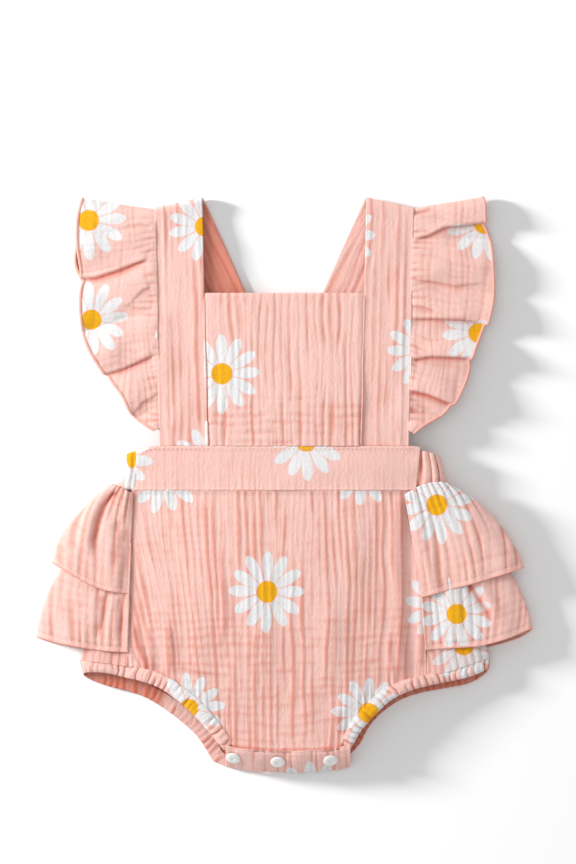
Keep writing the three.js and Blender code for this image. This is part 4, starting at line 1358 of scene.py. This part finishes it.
def make_snap(name, x, share):
    """A domed cap with a rolled rim and a small dimple, pressed into the placket."""
    spot = placket_point(np.array(x), np.array(share))
    along_x = placket_point(np.array(x + 1.0), np.array(share)) - spot
    downwards = placket_point(np.array(x), np.array(share + 0.05)) - spot
    out = np.cross(downwards, along_x)
    out /= np.linalg.norm(out)
    r = SNAP_RADIUS
    profile = [(0, 0.95), (0.5, 1.0), (0.9, 1.32), (r * 0.35, 1.6), (r * 0.6, 1.5), (r * 0.8, 1.22),
               (r * 0.93, 0.85), (r, 0.45), (r * 0.98, 0.15), (r * 0.9, 0)]
    form = bmesh.new()
    points = [form.verts.new((radius, 0, height)) for radius, height in profile]
    edges = [form.edges.new(pair) for pair in zip(points[:-1], points[1:])]
    bmesh.ops.spin(form, geom=points + edges, cent=(0, 0, 0), axis=(0, 0, 1), angle=math.tau,
                   steps=40, use_merge=True)
    bmesh.ops.remove_doubles(form, verts=form.verts, dist=1e-4)
    bmesh.ops.holes_fill(form, edges=form.edges, sides=0)
    bmesh.ops.recalc_face_normals(form, faces=form.faces)
    turn = Vector(out).to_track_quat("Z", "Y").to_matrix().to_4x4()
    place = Matrix.Translation(Vector(spot + out * (BAND / 2 + 0.1)))
    bmesh.ops.transform(form, matrix=Matrix.Scale(MM, 4) @ place @ turn, verts=form.verts)
    mesh = mesh_of(form, "snap_" + name)
    piece = place_piece("snap_dome_" + name, mesh, (SNAP_GLOSS,), "snap_cap_" + name)
    return piece


def make_snaps():
    for name, (x, share) in SNAPS.items():
        make_snap(name, x, share)
        for part in ("press", "ring"):
            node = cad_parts[f"snap_{part}_{name}"]
            node.data.materials.clear()
            node.data.materials.append(SNAP_GLOSS)


# Hip ruffles

# Folds: points along the valley, how high the roll beside it is, how dark the shade painted in the
# valley is, and the roll's side
UPPER_TIER_FOLDS = [
    ([(-118, -3), (-125, -7), (-131, -15), (-135, -26), (-138, -40), (-137, -54)], 2.0, 0.75, -1),
    ([(-121, -24), (-119.5, -44), (-123, -62)], 0.9, 0.3, -1),
    ([(-113.5, -30), (-112, -48), (-115.5, -66)], 0.8, 0.35, -1),
]
LOWER_TIER_FOLDS = [
    ([(132, -68), (138, -78), (146, -90), (150, -102)], 1.6, 0.8, 1),
    ([(-130, -78), (-131, -94), (-136, -112)], 0.8, 0.3, -1),
    ([(-119, -80), (-118, -96), (-121, -114)], 0.8, 0.35, -1),
]
HEM_DEPTH = 2.9
TIER_LENGTH = 76


def tier_relief(cloth, edge, seed):
    """Relief of a tier's crinkle, gathers and hem; edge is how far each point is from the hem."""
    across, down = cloth.across, cloth.down
    squares = panes(across, down, seed + 6)
    rib = np.clip(ribs(across, down, 0.86 * RIB_PITCH, seed) - 0.25 * (1 - squares), 0, 1.15)
    hem = ease(HEM_DEPTH + 0.5, HEM_DEPTH - 0.5, edge)
    gather = ease(30, 2, down)
    pleats = creases(across / PLEAT_PITCH, down, seed + 7, 30)
    soft = 1.1 * hills(across / 10, down / 60, seed + 8) + 0.5 * hills(across / 24, down / 30, seed + 9)
    # Only the colour reads this: painted shade in the crinkle's valleys and gathered pleats, and less
    # of it on the hem.
    cloth.rib = mix(np.clip(rib - 0.5 * gather * pleats, 0, 1.15), 0.9, 0.5 * hem)
    relief = 1.5 * RIB_HEIGHT * rib * mix(1, 0.45, hem) - 0.7 * gather * pleats
    relief += soft * ease(0, 14, down)
    return relief + 0.4 * hem + seam_dip(edge - HEM_DEPTH - 0.4, 0.4, 0.8)


def roll_folds(cloth, folds):
    """Relief of folds that roll up beside a valley; paints shade on the cloth in the valleys."""
    relief = 0
    for line, rise, dark, side in folds:
        distance, along = follow(cloth.x, cloth.y, line)
        fade = ease(0, 0.12, along) * ease(1, 0.7, along) * (cloth.lift > 0.5)
        aside = distance * side
        relief = relief + rise * fade * (hump(aside - 5.5, 4.5) - hump(aside + 1.2, 2.8))
        cloth.painted_shade = np.maximum(cloth.painted_shade, dark * fade * hump(aside + 0.8, 2.0))
    return relief


def make_tier(name, table, floor_height, front_height_of, seed, folds):
    rows = spread(named(TIER_COLUMNS, table), thread_middles("top", "hem", 10), 1.0, 2.6)
    total = rows["way"].max()
    share = shares(TIER_LENGTH, 1.7, 4.6, 0.75)
    bow = rows["bow"] * 3 * share * (1 - share)
    x, y = down_threads(rows, "top", "hem", share)
    x = x + np.sign(rows["top_x"]) * bow * 0.85
    y = y + bow * 0.5
    from_end = np.minimum(rows["way"], total - rows["way"])
    lift = rows["lift"]
    calm = ease(0, 9, from_end) * np.clip(lift * 1.2 - 0.2, 0, 1)
    wave = 0.5 * calm * (1 + np.sin(2 * np.pi * from_end / 19 - 1.2))
    height = mix(floor_height(y), front_height_of(x, y, share, wave), lift)
    inner = ease(6, 0, from_end) * (lift > 0.9)
    height = mix(height, front_height(x, y) + GAUZE + 0.3, inner)
    fan = np.minimum(from_end, 90) * mix(-0.28, 0.12, share)  # threads spread apart towards the hem
    across = rows["way"] + np.where(rows["way"] < total / 2, fan, -fan)
    cloth = Cloth(space(x, y, height), across, TIER_LENGTH * share, lift)
    cloth.held = 0.85 * np.broadcast_to(inner, cloth.held.shape)
    cloth.turn_front_up()
    edge = TIER_LENGTH - cloth.down
    relief = tier_relief(cloth, edge, seed) + roll_folds(cloth, folds)
    cloth.raise_by(relief * mix(0.4, 1, cloth.lift))
    piece = sew(name, cloth)
    normal = outwards(cloth.points)
    row = int(np.argmin(np.abs(edge[0] - HEM_DEPTH)))
    line = cloth.points[:, row] + normal[:, row] * (GAUZE / 2 + 0.05)
    trim = stitches(name + "_hemstitch", [line], 1.5, 0.7, 0.62, LIGHT_THREAD)
    end = cloth.points[:, int(np.argmin(edge[0]))]
    rolled = merrowed_hem(name + "_hem", end, 0.78, CORAL_THREAD, 1.6)
    return piece, [trim, rolled]


def upper_front(x, y, share, wave):
    level = UPPER_TIER_HEIGHT + UPPER_TIER_PUFF * ease(0.5, 0, share) + wave * share
    return np.maximum(level, front_height(x, y) + 1.9)


def upper_floor(y):
    return np.full(np.shape(y), FLOOR_HEIGHT)


def lower_front(x, y, share, wave):
    return LOWER_TIER_HEIGHT + wave * ease(0.5, 1, share)


def lower_floor(y):
    return FLOOR_HEIGHT + 1.5 * ease(-108, -94, y)


# Floor, light and camera

FRAME_HEIGHT = 622.1  # how much of the table the picture shows from top to bottom
CAMERA_SPOT = (2.7, 37.9)
CAMERA_HEIGHT = 3000
KEY_SPOT = (-1950, 950, 1130)
KEY_SIZE = 1300
KEY_SHARE = 0.52  # how much a lamp adds to the brightness of a level white surface
LOW_SPOT = (-2340, 640, 520)
LOW_SIZE = 300
LOW_SHARE = 0.52
SKY = 0.66


def make_floor():
    form = bmesh.new()
    bmesh.ops.create_grid(form, x_segments=1, y_segments=1, size=4.0)
    mesh = mesh_of(form, "floor")
    floor = bpy.data.objects.new("floor", mesh)
    floor.location.z = -0.0002
    bpy.context.scene.collection.objects.link(floor)
    shader = Shader("floor_white", (0.93, 0.93, 0.93), 0.95)
    shader.give("Specular IOR Level", 0.1)
    mesh.materials.append(shader.material)
    return floor


def make_lamp(name, spot, size, share, floor, lights_floor):
    """A square lamp aimed at the middle, which lights either the floor or all but the floor."""
    spot = Vector(spot) * MM
    light = bpy.data.lights.new(name, "AREA")
    light.size = size * MM
    light.energy = share * math.pi ** 2 * spot.length ** 3 / spot.z
    lamp = bpy.data.objects.new(name, light)
    lamp.location = spot
    lamp.rotation_mode = "QUATERNION"
    lamp.rotation_quaternion = spot.to_track_quat("Z", "Y")
    bpy.context.scene.collection.objects.link(lamp)
    lit = bpy.data.collections.new(name + "_lit")
    lit.objects.link(floor)
    lit.collection_objects[0].light_linking.link_state = "INCLUDE" if lights_floor else "EXCLUDE"
    lamp.light_linking.receiver_collection = lit


def make_light(floor):
    """A soft key from the left, a low lamp for the long soft shadow on the table, and a white sky."""
    make_lamp("key", KEY_SPOT, KEY_SIZE, KEY_SHARE, floor, False)
    make_lamp("low", LOW_SPOT, LOW_SIZE, LOW_SHARE, floor, True)
    world = bpy.data.worlds.new("studio")
    world.use_nodes = True
    sky = world.node_tree.nodes["Background"].inputs
    sky["Color"].default_value = (1, 1, 1, 1)
    sky["Strength"].default_value = SKY
    bpy.context.scene.world = world
    bpy.context.scene.view_settings.view_transform = "Standard"


def make_camera():
    camera = bpy.data.cameras.new("camera")
    camera.sensor_width = 36
    camera.lens = camera.sensor_width * (CAMERA_HEIGHT - 10) / FRAME_HEIGHT
    camera.clip_end = 20
    eye = bpy.data.objects.new("camera", camera)
    eye.location = Vector((*CAMERA_SPOT, CAMERA_HEIGHT)) * MM
    bpy.context.scene.collection.objects.link(eye)
    bpy.context.scene.camera = eye


def make_romper():
    make_bib()
    make_seam_cords()
    make_strap("strap_left", -1, 0)
    make_strap("strap_right", 1, CROSSING_HEIGHT)
    flutters = (
        ("flutter_left", -1, LEFT_FLUTTER, LEFT_LOBES, LEFT_FLUTTER_FOLDS, 101),
        ("flutter_right", 1, RIGHT_FLUTTER, RIGHT_LOBES, RIGHT_FLUTTER_FOLDS, 121),
    )
    for name, side, table, lobes, folds, seed in flutters:
        piece, hem = make_flutter(name, side, table, lobes, folds, seed)
    make_waistband_front()
    make_waistband_back()
    make_body_front()
    make_body_back()
    casings = (("leg_band_left", LEFT_CASING, 141), ("leg_band_right", RIGHT_CASING, 151))
    for name, table, seed in casings:
        make_leg_band(name, table, seed)
    front = make_placket("crotch_placket_front", (CROTCH_LEFT, CROTCH_RIGHT), (0, 1), 0, BAND, 161)
    ends = (CROTCH_LEFT + 3, CROTCH_RIGHT - 3)
    back = make_placket("crotch_placket_back", ends, (0.12, 0.84), BACK_PLACKET_INSET, 1.4, 171)
    make_snaps()
    tiers = (
        ("hip_ruffle_upper", UPPER_TIER, upper_floor, upper_front, 181, UPPER_TIER_FOLDS),
        ("hip_ruffle_lower", LOWER_TIER, lower_floor, lower_front, 191, LOWER_TIER_FOLDS),
    )
    for name, table, floor, front, seed, folds in tiers:
        piece, trims = make_tier(name, table, floor, front, seed, folds)


make_camera()
make_light(make_floor())
make_romper()
